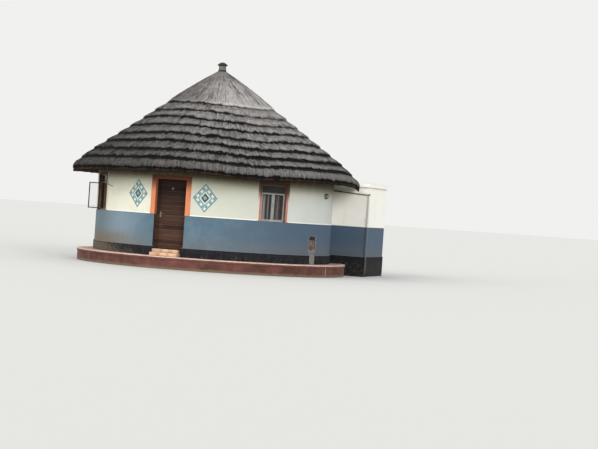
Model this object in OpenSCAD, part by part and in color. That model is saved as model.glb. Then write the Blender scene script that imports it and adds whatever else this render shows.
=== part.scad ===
// Round hut with a stepped thatched roof, a raised apron and a small rear annex.
// Origin: centre of the round room at ground level. +Z is up and the door faces -Y.
// Azimuths are counted from the door, positive towards +X. All sizes are in millimetres.

/* [Levels] */
// Height of the apron above the lowest ground
apron_h = 350; // [250:10:500]
// Height of the floor above the apron
floor_rise = 200; // [150:10:300]
// Height of the plinth above the floor
plinth_rise = 70; // [40:5:120]
// Height of the blue band of wall above the plinth
dado_h = 920; // [700:10:1000]
// Height of the round wall above the floor
wall_h = 2530; // [2400:10:2900]

/* [Round wall] */
// Outside radius of the round wall
wall_r = 3600; // [3400:20:4000]
// Thickness of the round wall
wall_t = 230; // [180:10:280]
// How far the plinth stands out from the wall
plinth_proud = 20; // [10:2:40]
// Height of the hole in the plaster above the plinth
patch_rise = 120; // [40:10:200]
// Width of the hole in the plaster
patch_w = 390; // [200:10:500]
// Height of the hole in the plaster
patch_h = 440; // [250:10:600]
// Depth of the hole in the plaster
patch_depth = 16; // [8:1:30]
// Azimuth of the hole in the plaster
patch_az = 75.5; // [65:0.5:90]

/* [Apron and step] */
// Width of the apron beyond the plinth
apron_w = 480; // [420:10:600]
// Thickness of the apron's top slab
slab_t = 70; // [50:5:100]
// Overhang of the apron's top slab
slab_lip = 15; // [5:1:30]
// Width of the door step's upper tread
step_w = 780; // [600:10:900]
// Depth of each tread of the door step
tread = 135; // [110:5:220]
// How far the lower tread runs past the upper one on each side
step_ear = 20; // [10:5:160]

/* [Door] */
// Width of the doorway
door_w = 940; // [860:10:1100]
// Height of the doorway
door_h = 2000; // [1950:10:2100]
// Thickness of the door leaf
leaf_t = 44; // [36:1:54]
// Width of the door frame's face
jamb_w = 50; // [40:2:70]
// Depth of the door frame
jamb_d = 90; // [80:5:120]
// Width of the door stop
stop_w = 15; // [12:1:20]
// Running gap around the door leaf
leaf_gap = 7; // [6:0.5:9]
// Number of boards in the door leaf
boards = 14; // [8:1:18]
// Width and depth of the groove between two boards
groove = 6; // [3:1:10]
// Height of the lever handle above the floor
handle_h = 1000; // [900:10:1100]
// Distance of the lever's spindle from the edge of the leaf
backset = 60; // [50:5:80]
// Diameter of the spindle
spindle_d = 10; // [8:1:12]
// Length of the lever
lever_l = 120; // [90:5:140]
// Diameter of the lever
lever_d = 16; // [12:1:20]
// Distance from the leaf's face to the middle of the lever
lever_out = 38; // [32:1:44]
// Width of the handle's plate
handle_plate_w = 40; // [30:1:50]
// Height of the handle's plate
handle_plate_h = 170; // [120:5:220]
// Thickness of the handle's plate
handle_plate_t = 6; // [3:1:8]
// Radius of the round plate on the door leaf
disc_r = 35; // [20:1:50]
// Height of a hinge
hinge_h = 100; // [75:5:125]
// Radius of the hinge knuckles
knuckle_r = 8; // [7:0.5:9]
// Radius of the hinge pins
pin_r = 4; // [3:0.5:5]
// Width of a hinge plate
hinge_w = 29; // [22:1:32]
// Thickness of a hinge plate
hinge_t = 2.5; // [2:0.5:4]
// Distance of the outer hinges from the ends of the leaf
hinge_end = 200; // [150:10:300]

/* [Windows] */
// Azimuth of the windows on either side of the door
window_az = 49; // [42:1:56]
// Width of a window opening
window_w = 810; // [700:10:950]
// Height of a window opening
window_h = 1050; // [950:10:1090]
// Height of the fixed top light
top_light = 200; // [150:5:260]
// Face width of the steel window frame
bar_w = 30; // [22:1:40]
// Depth of the steel window frame
bar_d = 35; // [28:1:45]
// Face width of the sash frames
sash_w = 28; // [20:1:36]
// How far the window frame is set back from the wall face
window_set = 80; // [60:5:100]
// Depth of the sash frames
sash_d = 30; // [24:1:34]
// Angle at which one casement stands open
open_angle = 95; // [60:5:120]
// Thickness of the glass
glass_t = 4; // [3:0.5:6]

/* [Painted surrounds] */
// Width of the surround beside the door
door_band = 140; // [80:5:180]
// Width of the surround beside a window
window_band = 110; // [80:5:140]
// Height of the surround above the door
head_band = 115; // [90:5:140]
// Thickness of the raised plaster of the surrounds
band_t = 12; // [6:1:20]

/* [Curtains] */
// Thickness of a gathered curtain
curtain_t = 50; // [30:5:70]
// Distance from a curtain to the corner of the window's reveal
curtain_gap = 15; // [8:1:25]
// Drop of a curtain below the sill
curtain_drop = 60; // [20:5:150]
// Diameter of a curtain rod
rod_d = 22; // [16:1:30]
// How far a curtain rod runs past the window on each side
rod_end = 90; // [60:5:110]
// Height of a curtain rod above the window
rod_rise = 70; // [50:5:100]

/* [Roof frame] */
// Pitch of the roof in degrees
pitch = 35.5; // [33:0.5:38]
// Radius of the eave
eave_r = 4370; // [4250:10:4500]
// Distance from the eave back to the ends of the rafters
rafter_back = 220; // [180:10:300]
// Number of rafters
rafters_n = 18; // [14:1:18]
// Diameter of a rafter pole
rafter_d = 90; // [70:5:95]
// Thickness of a lath
lath_t = 25; // [18:1:32]
// Width of a lath
lath_w = 45; // [30:1:60]
// Spacing of the laths down the slope
lath_pitch = 290; // [240:10:360]
// Distance of the lowest lath from the eave, along the slope
lath_start = 100; // [60:10:160]
// Width of the wall plate
plate_w = 120; // [90:5:160]
// Height of the wall plate
plate_t = 80; // [60:5:100]
// Radius of the hub that joins the rafters
hub_r = 330; // [320:5:380]
// Height of the hub at its rim
hub_h = 260; // [220:10:300]
// Depth of the rafter sockets in the hub
socket = 50; // [30:5:50]

/* [Thatch] */
// Thickness of the thatch, measured square to the slope
thatch_t = 220; // [190:5:260]
// Thickness of the butt that shows at each course
butt_t = 55; // [35:5:70]
// Length of the lowest course along the slope
eave_run = 290; // [270:5:310]
// Length of each course above it
course_run = 435; // [400:5:445]
// Lap of each course under the next one
lap = 110; // [80:5:140]
// Depth of the rounded eave
eave_round_w = 272; // [220:2:300]
// Height of the rounded eave
eave_round_h = 285; // [240:5:300]
// Swell of the smooth cap halfway up
cap_swell = 50; // [0:5:70]

/* [Finial] */
// Radius of the bound straw neck
neck_r = 105; // [80:5:130]
// Height of the neck above the cap of thatch
neck_h = 190; // [140:5:240]
// How far the neck spreads at its foot
neck_foot = 40; // [20:5:60]
// Height of the tie around the neck
tie_h = 30; // [20:2:40]
// Radius of the finial's lid
lid_r = 180; // [140:2:200]
// Height of the finial's lid
lid_h = 100; // [70:5:120]
// Thickness of the lid at its edge
lid_edge = 18; // [10:1:30]

/* [Annex] */
// X of the annex's left wall
annex_x0 = 1000; // [700:20:1200]
// X of the annex's right wall
annex_x1 = 4300; // [4250:10:4500]
// Y of the annex's front wall
annex_y0 = 1900; // [1850:10:2000]
// Y of the annex's back wall
annex_y1 = 4100; // [4060:10:4400]
// Thickness of the annex walls
annex_t = 220; // [180:10:250]
// Height of the annex walls above the floor
annex_h = 2230; // [2200:10:2300]
// Thickness of the annex's roof slab
roof_slab_t = 120; // [100:5:150]
// Overhang of the annex's roof slab
roof_slab_lip = 60; // [40:5:90]
// Azimuth of the passage between the room and the annex
passage_az = 140; // [138:1:144]
// Width of the passage
passage_w = 750; // [700:10:800]
// Width and height of the annex's window
annex_window = 600; // [500:10:700]
// Diameter of the pipe on the annex's front wall
pipe_d = 36; // [28:1:50]
// Diameter of the downpipe
downpipe_d = 68; // [55:1:80]
// Fall of the pipe in degrees
pipe_fall = 3; // [1:0.5:4]
// Distance from the top of the annex walls down to the low end of the pipe
pipe_drop = 240; // [180:10:300]
// Height of the downpipe's open end above the ground
downpipe_z = 120; // [60:10:250]
// Width of a pipe clip
clip_w = 24; // [16:2:40]

/* [Wall lamp] */
// Azimuth of the lamp
lamp_az = 86; // [80:1:90]
// Radius of the lamp
lamp_r = 85; // [70:1:100]
// How far the lamp stands out from the wall
lamp_out = 115; // [80:5:140]
// Thickness of the lamp's base and of its front rim
lamp_rim = 22; // [14:1:30]
// Distance of the lamp's middle below the top of the surrounds
lamp_drop = 275; // [200:5:400]

/* [Hidden] */

$fn = 96;
// Fineness of the large circles: the walls, the apron and the roof
large_fn = 720;
// Gap left between pieces that touch
seat = 0.3;
// Gap left behind the raised plaster bands on the curved wall
band_seat = 0.8;
// Length by which a cutting shape runs past what it cuts
over = 400;

// Levels
floor_z = apron_h + floor_rise;
plinth_z = floor_z + plinth_rise;
belt_z = plinth_z + dado_h;
wall_z = floor_z + wall_h;
head_z = floor_z + door_h;
sill_z = belt_z;
window_top_z = sill_z + window_h;
band_top_z = head_z + head_band;
annex_top_z = floor_z + annex_h;

// Azimuths of the three large windows
window_azs = [window_az, -window_az, window_az - 180];

// Radii
inner_r = wall_r - wall_t;
plinth_r = wall_r + plinth_proud;
apron_r = plinth_r + apron_w;

// Colours
cream = [0.87, 0.85, 0.78];
blue = [0.45, 0.54, 0.60];
black = [0.17, 0.17, 0.20];
orange = [0.90, 0.53, 0.38];
redbrown = [0.43, 0.24, 0.21];
pink = [0.82, 0.68, 0.62];
peach = [0.83, 0.63, 0.44];
dark_wood = [0.28, 0.20, 0.17];
pole_wood = [0.52, 0.40, 0.28];
straw = [0.46, 0.42, 0.40];
steel_paint = [0.62, 0.61, 0.58];
pane = [0.20, 0.24, 0.26];
cloth = [0.42, 0.34, 0.34];

// Turns the door side, -Y, to an azimuth
module around(az) {
    rotate([0, 0, az]) children();
}

// A ring between two radii and two levels
module ring(r0, r1, z0, z1) {
    rotate_extrude($fn = large_fn) translate([r0, z0]) square([r1 - r0, z1 - z0]);
}

// A level layer of a plan between two levels
module layer(z0, z1) {
    translate([0, 0, z0]) linear_extrude(z1 - z0) children();
}

// Plan of the round wall between two azimuths at most half a turn apart
module wall_plan(a0, a1) {
    steps = 4;
    far = 2 * wall_r;
    intersection() {
        difference() {
            circle(r = wall_r, $fn = large_fn);
            circle(r = inner_r, $fn = large_fn);
        }
        polygon(concat([[0, 0]],
            [for (i = [0 : steps]) let (a = a0 + i * (a1 - a0) / steps) far * [sin(a), -cos(a)]]));
    }
}

// A box given by its lowest and highest corners
module block(lo, hi) {
    translate(lo) cube(hi - lo);
}

// Plan of an opening through the round wall, square to the wall
module opening_plan(az, w) {
    rotate(az) translate([-w / 2, -wall_r - over]) square([w, wall_t + 2 * over]);
}

module door_hole() {
    layer(floor_z, head_z) opening_plan(0, door_w);
}

module window_hole(az) {
    layer(sill_z, window_top_z) opening_plan(az, window_w);
}

module passage_hole() {
    layer(floor_z, head_z) opening_plan(passage_az, passage_w);
}

// Floor and its fill, inside the round wall
module floor_base() {
    color(peach) cylinder(r = inner_r - seat, h = floor_z, $fn = large_fn);
}

// Raised apron around the wall: a rendered base and a top slab
module apron_ring(r1, z0, z1) {
    difference() {
        ring(plinth_r + seat, r1, z0, z1);
        annex_block(plinth_proud + seat, z0 - over, z1 + over);
    }
}

module apron_base() {
    color(redbrown) apron_ring(apron_r - slab_lip, 0, apron_h - slab_t);
}

module apron_slab() {
    color(pink) apron_ring(apron_r, apron_h - slab_t + seat, apron_h);
}

// Two treads in front of the door
module door_step() {
    rise = floor_rise / 2;
    color(peach) difference() {
        union() {
            block([-step_w / 2 - step_ear, -plinth_r - 2 * tread, apron_h + seat],
                  [step_w / 2 + step_ear, -inner_r, apron_h + rise]);
            block([-step_w / 2, -plinth_r - tread, apron_h + seat],
                  [step_w / 2, -inner_r, floor_z - seat]);
        }
        cylinder(r = plinth_r + seat, h = floor_z + over, $fn = large_fn);
    }
}

// Black plinth on which the round wall stands
module plinth() {
    color(black) difference() {
        ring(inner_r, plinth_r, 0, plinth_z);
        door_hole();
        passage_hole();
    }
}

// Lower, blue part of the round wall in two halves, with the hole in the plaster
module lower_wall(a0, a1) {
    color(blue) difference() {
        layer(plinth_z, belt_z) difference() {
            wall_plan(a0, a1);
            opening_plan(0, door_w);
            opening_plan(passage_az, passage_w);
        }
        around(patch_az)
            block([-patch_w / 2, -wall_r - over, plinth_z + patch_rise],
                  [patch_w / 2, -wall_r + patch_depth, plinth_z + patch_rise + patch_h]);
    }
}

// Upper, cream part of the round wall between two openings
module upper_wall(a0, a1) {
    color(cream) layer(belt_z, head_z) difference() {
        wall_plan(a0, a1);
        opening_plan(0, door_w);
        opening_plan(passage_az, passage_w);
        for (az = window_azs) opening_plan(az, window_w);
    }
}

// Beam that closes the wall over the openings
module ring_beam() {
    color(cream) difference() {
        ring(inner_r, wall_r, head_z, wall_z);
        for (az = window_azs) window_hole(az);
    }
}

// Raised plaster band around an opening, above the blue part of the wall
module band(az, w, side) {
    layer(belt_z, band_top_z) intersection() {
        difference() {
            circle(r = wall_r + band_t, $fn = large_fn);
            circle(r = wall_r + band_seat, $fn = large_fn);
        }
        opening_plan(az, w + 2 * side);
    }
}

module door_surround() {
    color(orange) difference() {
        band(0, door_w, door_band);
        door_hole();
    }
}

module window_surrounds() {
    color(orange) for (az = window_azs) difference() {
        band(az, window_w, window_band);
        window_hole(az);
    }
}

// Door leaf: closed, its inner face is flush with the frame, just inside the wall's face
frame_proud = 3;
leaf_in_y = -sqrt(inner_r * inner_r - door_w * door_w / 4) - frame_proud;
leaf_out_y = leaf_in_y - leaf_t;
leaf_x = door_w / 2 - jamb_w - leaf_gap;
leaf_z0 = floor_z + leaf_gap + 1;
leaf_z1 = head_z - jamb_w - leaf_gap;
frame_out_y = leaf_in_y - jamb_d;
stop_gap = 5.5;

// Frame with its stops
module door_frame() {
    side = door_w / 2 - seat;
    clear = door_w / 2 - jamb_w;
    color(dark_wood) difference() {
        block([-side, frame_out_y, floor_z + seat], [side, leaf_in_y, head_z - seat]);
        block([-clear, leaf_out_y - stop_gap, 0], [clear, leaf_in_y + over, head_z - jamb_w]);
        block([-clear + stop_w, frame_out_y - over, 0], [clear - stop_w, leaf_in_y, head_z - jamb_w - stop_w]);
    }
}

// Place of the lever's spindle
spindle_x = backset - leaf_x;
spindle_z = floor_z + handle_h;

module door_leaf() {
    board_h = (leaf_z1 - leaf_z0) / boards;
    color(dark_wood) difference() {
        block([-leaf_x, leaf_out_y, leaf_z0], [leaf_x, leaf_in_y, leaf_z1]);
        for (i = [1 : boards - 1])
            block([-leaf_x - over, leaf_out_y - over, leaf_z0 + i * board_h - groove / 2],
                  [leaf_x + over, leaf_out_y + groove, leaf_z0 + i * board_h + groove / 2]);
        translate([spindle_x, 0, spindle_z]) rotate([90, 0, 0]) cylinder(d = spindle_d + 1, h = wall_r + over);
    }
}

// Butt hinges: the knuckles stand just inside the leaf's inner face
pin_x = door_w / 2 - jamb_w - leaf_gap / 2;
pin_y = leaf_in_y + knuckle_r + seat;
hinge_levels = [leaf_z0 + hinge_end, (leaf_z0 + leaf_z1) / 2, leaf_z1 - hinge_end];
knuckle_gap = 0.5;

// A stretch of hinge plate on one side of the pin: -1 lies on the leaf and 1 on the frame
module hinge_plate(side, near, far, z0, z1) {
    translate([pin_x, 0, 0]) scale([side, 1, 1])
        block([near, leaf_in_y + seat, z0], [far, leaf_in_y + seat + hinge_t, z1]);
}

// Frame half: a plate, the two outer knuckles and the pin
module door_hinges() {
    third = hinge_h / 3;
    root = knuckle_r + 1;
    color(steel_paint) for (z = hinge_levels) translate([0, 0, z - hinge_h / 2]) {
        hinge_plate(1, root, root + hinge_w, 0, hinge_h);
        for (k = [0, 2]) {
            translate([pin_x, pin_y, k * third]) cylinder(r = knuckle_r, h = third);
            hinge_plate(1, 0, root, k * third, (k + 1) * third);
        }
        translate([pin_x, pin_y, 0]) cylinder(r = pin_r, h = hinge_h);
    }
}

// Leaf half: a plate and the middle knuckle around the pin
module hinge_leaves() {
    third = hinge_h / 3;
    root = knuckle_r + 1;
    color(steel_paint) for (z = hinge_levels) translate([0, 0, z - hinge_h / 2]) difference() {
        union() {
            hinge_plate(-1, root, root + hinge_w, 0, hinge_h);
            translate([pin_x, pin_y, third + knuckle_gap]) cylinder(r = knuckle_r, h = third - 2 * knuckle_gap);
            hinge_plate(-1, 0, root, third + knuckle_gap, 2 * third - knuckle_gap);
        }
        translate([pin_x, pin_y, -over]) cylinder(r = pin_r + seat, h = 3 * over);
    }
}

// Lever handles on both faces with their spindle, and the blank round plate
spindle_end = 7;
collar_d = 18;
plate_low = 0.59 * handle_plate_h;
disc_t = 5;
disc_x = -20;
disc_drop = 205;

module lever(face_y, out) {
    translate([spindle_x, face_y, spindle_z]) scale([1, out, 1]) {
        block([-handle_plate_w / 2, 0, -plate_low],
              [handle_plate_w / 2, handle_plate_t, handle_plate_h - plate_low]);
        translate([0, lever_out + spindle_end, 0]) rotate([90, 0, 0]) cylinder(d = collar_d, h = lever_out + 4);
        translate([-collar_d / 2, lever_out, 0]) rotate([0, 90, 0]) cylinder(d = lever_d, h = lever_l);
    }
}

module door_handle() {
    color(steel_paint) {
        translate([spindle_x, leaf_in_y + lever_out + spindle_end, spindle_z]) rotate([90, 0, 0])
            cylinder(d = spindle_d, h = leaf_t + 2 * (lever_out + spindle_end));
        lever(leaf_out_y - seat, -1);
        lever(leaf_in_y + seat, 1);
        translate([disc_x, leaf_out_y - seat, leaf_z1 - disc_drop]) rotate([90, 0, 0])
            cylinder(r = disc_r, h = disc_t);
    }
}

// Steel window: outer frame with a transom, two casements and their panes.
// The frame stands in a local place where the wall faces -Y.
frame_y0 = -wall_r + window_set;
frame_y1 = frame_y0 + bar_d;
transom_z = window_top_z - bar_w - top_light;

module window_frame(w, z0, z1, transom) {
    half = w / 2 - seat;
    difference() {
        block([-half, frame_y0, z0 + seat], [half, frame_y1, z1 - seat]);
        block([-half + bar_w, frame_y0 - over, z0 + bar_w], [half - bar_w, frame_y1 + over, transom - bar_w / 2]);
        block([-half + bar_w, frame_y0 - over, transom + bar_w / 2], [half - bar_w, frame_y1 + over, z1 - bar_w]);
    }
}

// Clearance around a sash, how far it stands out of the frame, and how deep its glass sits
sash_gap = 0.5;
sash_out = 2;
pane_set = 10;
light_set = 15;
sash_z0 = sill_z + bar_w;
sash_z1 = transom_z - bar_w / 2;
leaf_w = window_w / 2 - bar_w - 2 * sash_gap;

// Places a casement, drawn from its hinge edge, on a side of the window and turns it open
module casement(side, angle) {
    hinge_x = side * (window_w / 2 - bar_w - sash_gap);
    translate([hinge_x, frame_y0, 0]) rotate([0, 0, side * angle]) scale([-side, 1, 1]) children();
}

module sash() {
    difference() {
        block([0, -sash_out, sash_z0 + sash_gap], [leaf_w, sash_d - sash_out, sash_z1 - sash_gap]);
        block([sash_w, -over, sash_z0 + sash_gap + sash_w], [leaf_w - sash_w, over, sash_z1 - sash_gap - sash_w]);
    }
}

module sash_pane() {
    edge = sash_w + seat;
    block([edge, pane_set, sash_z0 + sash_gap + edge],
          [leaf_w - edge, pane_set + glass_t, sash_z1 - sash_gap - edge]);
}

module steel_window(az, left_angle) {
    color(steel_paint) around(az) {
        window_frame(window_w, sill_z, window_top_z, transom_z);
        casement(-1, left_angle) sash();
        casement(1, 0) sash();
    }
}

// A fixed pane between two levels of a frame
module fixed_pane(w, z0, z1) {
    half = w / 2 - bar_w - 2 * seat;
    block([-half, frame_y0 + light_set, z0 + seat], [half, frame_y0 + light_set + glass_t, z1 - seat]);
}

module window_panes(az, left_angle) {
    around(az) {
        casement(-1, left_angle) sash_pane();
        casement(1, 0) sash_pane();
        fixed_pane(window_w, transom_z + bar_w / 2, window_top_z - bar_w);
    }
}

module window_left() {
    steel_window(-window_az, open_angle);
}

module window_right() {
    steel_window(window_az, 0);
}

module window_back() {
    steel_window(window_az - 180, 0);
}

// Small fixed window in the back wall of the annex
annex_mid_x = (annex_x0 + annex_x1) / 2;
annex_sill_z = head_z - annex_window;
annex_bar_z = head_z - annex_window / 3;

module at_annex_back() {
    translate([annex_mid_x, annex_y1 - wall_r, 0]) around(180) children();
}

module window_annex() {
    color(steel_paint) at_annex_back() window_frame(annex_window, annex_sill_z, head_z, annex_bar_z);
}

module annex_panes() {
    fixed_pane(annex_window, annex_sill_z + bar_w, annex_bar_z - bar_w / 2);
    fixed_pane(annex_window, annex_bar_z + bar_w / 2, head_z - bar_w);
}

module window_glass() {
    color(pane) {
        window_panes(-window_az, open_angle);
        window_panes(window_az, 0);
        window_panes(window_az - 180, 0);
        at_annex_back() annex_panes();
    }
}

// Curtains hang just inside the wall, one pair to a window
curtain_y = -sqrt(inner_r * inner_r - window_w * window_w / 4) + curtain_gap;
curtain_side = 8;
rod_y = curtain_y + curtain_t / 2;
rod_z = window_top_z + rod_rise;

module curtain(az) {
    half = window_w / 4 - curtain_side;
    color(cloth) around(az) for (side = [-1, 1]) translate([side * window_w / 4, 0, 0])
        block([-half, curtain_y, sill_z - curtain_drop], [half, curtain_y + curtain_t, rod_z - rod_d / 2 - seat]);
}

module curtain_left() {
    curtain(-window_az);
}

module curtain_right() {
    curtain(window_az);
}

// Rods, each on two brackets that end on the wall
bracket_w = 30;
bracket_h = 16;
bracket_in = 30;

module curtain_rods() {
    reach = window_w / 2 + rod_end;
    color(steel_paint) difference() {
        for (az = [-window_az, window_az]) around(az) {
            translate([-reach, rod_y, rod_z]) rotate([0, 90, 0]) cylinder(d = rod_d, h = 2 * reach);
            for (side = [-1, 1]) translate([side * (reach - bracket_in), 0, rod_z])
                block([-bracket_w / 2, -inner_r, -bracket_h / 2], [bracket_w / 2, rod_y, bracket_h / 2]);
        }
        ring(inner_r - seat, wall_r, 0, wall_z);
    }
}

// Round lamp on the wall: a base, a drum of glass and a front rim around a shallow domed front
glass_in = 8;
front_set = 6;
front_rise = 9;

module wall_lamp() {
    glass_r = lamp_r - glass_in;
    front_r = lamp_r - 2 * glass_in;
    front = lamp_out - front_set;
    color(steel_paint) around(lamp_az)
        translate([0, -wall_r - seat, band_top_z - lamp_drop]) rotate([90, 0, 0])
            rotate_extrude() polygon(concat([[0, 0], [lamp_r, 0], [lamp_r, lamp_rim], [glass_r, lamp_rim],
                [glass_r, lamp_out - lamp_rim], [lamp_r, lamp_out - lamp_rim], [lamp_r, lamp_out],
                [front_r, lamp_out]],
                [for (t = [1 : -0.25 : 0]) [t * front_r, front + front_rise * (1 - t * t)]]));
}

// Roof lines. The underside of the thatch is a cone, and so are all lines parallel to it.
tan_p = tan(pitch);
cos_p = cos(pitch);
sin_p = sin(pitch);
plate_top = wall_z + plate_t + seat;
plate_out = wall_r - wall_t / 2 + plate_w / 2;
courses = 8;
function under_z(r) = plate_top + (rafter_d + lath_t + 3 * seat) / cos_p + (plate_out - r) * tan_p;
// A point at a distance up the slope from the eave and at a height square to the underside
function slope_point(s, h) = [eave_r - s * cos_p + h * sin_p, under_z(eave_r) + s * sin_p + h * cos_p];
function slope_at(r, h) = (eave_r + h * sin_p - r) / cos_p;

module wall_plate() {
    color(pole_wood) ring(plate_out - plate_w, plate_out, wall_z + seat, plate_top);
}

// Space taken by the annex, which the roof over it is trimmed to
module annex_block(more, z0, z1) {
    block([annex_x0 - more, annex_y0 - more, z0], [annex_x1 + more, annex_y1 + more, z1]);
}

// Clearance between the annex's slab and the roof over it
trim_gap = 5;

module annex_trim() {
    annex_block(roof_slab_lip + trim_gap, 0, annex_top_z + roof_slab_t + trim_gap);
}

// A pole laid down the slope from one radius to another
module rafter_pole(r0, r1, d) {
    drop = (lath_t + rafter_d / 2 + 2 * seat) / cos_p;
    translate([0, -r0, under_z(r0) - drop]) rotate([90 + pitch, 0, 0]) cylinder(d = d, h = (r1 - r0) / cos_p);
}

// Places a copy for each rafter, with the door midway between two of them
module each_rafter() {
    for (i = [0 : rafters_n - 1]) around((i + 0.5) * 360 / rafters_n) children();
}

module rafters() {
    color(pole_wood) difference() {
        each_rafter() rafter_pole(hub_r - socket + 1, eave_r - rafter_back, rafter_d);
        annex_trim();
    }
}

// Hub block with a socket for each rafter
hub_drop = 20;
hub_chamfer = 60;

module roof_hub() {
    top = under_z(hub_r) - hub_drop;
    foot = top - hub_h;
    color(pole_wood) difference() {
        rotate_extrude() polygon([[0, foot], [hub_r - hub_chamfer, foot], [hub_r, foot + hub_chamfer],
                                  [hub_r, top], [0, top + hub_r * tan_p]]);
        each_rafter() rafter_pole(hub_r - socket, hub_r + over, rafter_d + 2 * seat);
    }
}

// Laths, as hoops on the rafters, up to the hub
module roof_laths() {
    top_s = (eave_r - hub_r) / cos_p - lath_pitch / 2;
    color(pole_wood) difference() {
        rotate_extrude($fn = large_fn) for (s = [lath_start : lath_pitch : top_s])
            translate(slope_point(s, -seat)) rotate(-pitch) translate([-lath_w, -lath_t]) square([lath_w, lath_t]);
        annex_trim();
    }
}

// Thatch courses, counted up from the eave. Each laps over the one below.
function run_sum(k) = eave_run + (k - 1) * course_run;
function ledge_r(k) = eave_r - run_sum(k) * cos_p;
function ledge_s(k) = slope_at(ledge_r(k), thatch_t);
// Height of a course's top surface at a distance past its upper ledge, under the next course
function under_h(k, past) = thatch_t - butt_t - butt_t * past / (ledge_s(k) - ledge_s(k - 1));

// Rounded butt of the lowest course, an arc of an ellipse from the lower edge of the eave
eave_mid = slope_point(0, 0) + [eave_round_w * -0.92, eave_round_h * 0.27];
function eave_butt() = concat([slope_point(0, 0)],
                              [for (t = [-15 : 15 : 60]) eave_mid + [eave_round_w * cos(t), eave_round_h * sin(t)]]);

// Butt of a course that rests on the top of the one below
function lap_butt(k) = [slope_point(ledge_s(k - 1) + lap + seat, 0),
                        slope_point(ledge_s(k - 1) + lap + seat, under_h(k - 1, lap) + seat),
                        slope_point(ledge_s(k - 1), thatch_t - butt_t + seat),
                        slope_point(ledge_s(k - 1), thatch_t)];

module thatch_course(k) {
    upper = ledge_s(k) + lap;
    ledge = k == 1 ? [slope_point(ledge_s(1), thatch_t - butt_t)] : [];
    color(straw) difference() {
        rotate_extrude($fn = large_fn) polygon(concat(k == 1 ? eave_butt() : lap_butt(k), ledge,
            [slope_point(upper, under_h(k, lap)), slope_point(upper, 0)]));
        annex_trim();
    }
}

// Smooth cap over the last course, cut flat under the finial
seat_r = neck_r + neck_foot + 5;
cap_r = ledge_r(courses);
function cap_point(t) = let (r = seat_r + t * (cap_r - seat_r))
    [r, under_z(r) + thatch_t / cos_p + cap_swell * sin(180 * t)];

module thatch_cap() {
    color(straw) rotate_extrude($fn = large_fn) polygon(concat([[0, under_z(0)]], lap_butt(courses + 1),
        [for (t = [0.8 : -0.2 : 0]) cap_point(t)], [[0, cap_point(0).y]]));
}

// Finial: a neck bound with a tie, and a domed lid
tie_in = 4;
tie_low = 0.8 * neck_foot;
cap_top = cap_point(0).y;

module finial_neck() {
    z = cap_top + seat;
    bound_r = neck_r - tie_in;
    color(straw) rotate_extrude() polygon([[0, z], [neck_r + neck_foot, z], [neck_r + neck_foot / 4, z + tie_low / 2],
        [bound_r, z + tie_low], [bound_r, z + tie_low + tie_h], [neck_r, z + tie_low + tie_h + 2 * tie_in],
        [neck_r, z + neck_h - tie_low], [bound_r - tie_in, z + neck_h], [0, z + neck_h]]);
}

module finial_lid() {
    z = cap_top + neck_h + 2 * seat;
    color(black) rotate_extrude() polygon(concat([[0, z]],
        [for (t = [1 : -0.125 : 0]) [t * lid_r, z + lid_edge + (lid_h - lid_edge) * (1 - t * t)]]));
}

// Annex outlines
module annex_outline(more) {
    translate([annex_x0 - more, annex_y0 - more])
        square([annex_x1 - annex_x0 + 2 * more, annex_y1 - annex_y0 + 2 * more]);
}

module annex_shell(z0, z1) {
    layer(z0, z1) difference() {
        annex_outline(0);
        annex_outline(-annex_t);
        circle(r = wall_r + seat, $fn = large_fn);
    }
}

module annex_window_hole() {
    block([annex_mid_x - annex_window / 2, annex_y1 - over, annex_sill_z],
          [annex_mid_x + annex_window / 2, annex_y1 + over, head_z]);
}

// Plinth of the annex, and the floor with its fill inside it
module annex_base() {
    color(black) layer(0, plinth_z) difference() {
        annex_outline(plinth_proud);
        annex_outline(-annex_t);
        circle(r = plinth_r + seat, $fn = large_fn);
    }
}

module annex_floor() {
    color(peach) layer(0, floor_z) difference() {
        annex_outline(-annex_t - seat);
        circle(r = plinth_r + seat, $fn = large_fn);
    }
}

module annex_lower_walls() {
    color(blue) annex_shell(plinth_z + seat, belt_z);
}

module annex_upper_walls() {
    color(cream) difference() {
        annex_shell(belt_z + seat, annex_top_z);
        annex_window_hole();
    }
}

module annex_roof() {
    color(cream) layer(annex_top_z + seat, annex_top_z + roof_slab_t) difference() {
        annex_outline(roof_slab_lip);
        circle(r = wall_r + seat, $fn = large_fn);
    }
}

// Pipe with a fall along the front wall of the annex, its clips, and the downpipe at the corner
pipe_gap = 8;
clip_rim = 5;
pipe_y = annex_y0 - pipe_d / 2 - pipe_gap;
downpipe_x = annex_x1 + plinth_proud + clip_rim + downpipe_d / 2;
pipe_low_z = annex_top_z - pipe_drop;
pipe_x0 = sqrt(wall_r * wall_r - pipe_y * pipe_y) + pipe_d;

module pipe_clip(x) {
    translate([x, pipe_y, pipe_low_z + (downpipe_x - x) * tan(pipe_fall)]) {
        rotate([0, 90, 0]) cylinder(d = pipe_d + 2 * clip_rim, h = clip_w);
        block([0, 0, -pipe_d / 2], [clip_w, annex_y0 - pipe_y - seat, pipe_d / 2]);
    }
}

module downpipe_clip(z) {
    block([annex_x1 + seat, pipe_y - downpipe_d / 2 - clip_rim, z],
          [downpipe_x, annex_y0 + clip_w, z + clip_w]);
}

module annex_pipes() {
    color(steel_paint) {
        translate([downpipe_x, pipe_y, pipe_low_z]) rotate([0, -90 + pipe_fall, 0])
            cylinder(d = pipe_d, h = (downpipe_x - pipe_x0) / cos(pipe_fall));
        translate([downpipe_x, pipe_y, downpipe_z]) cylinder(d = downpipe_d, h = pipe_low_z + pipe_d - downpipe_z);
        for (share = [0.25, 0.75]) pipe_clip(pipe_x0 + share * (annex_x1 - pipe_x0));
        for (z = [plinth_z + pipe_drop, belt_z + pipe_drop]) downpipe_clip(z);
    }
}

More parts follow.
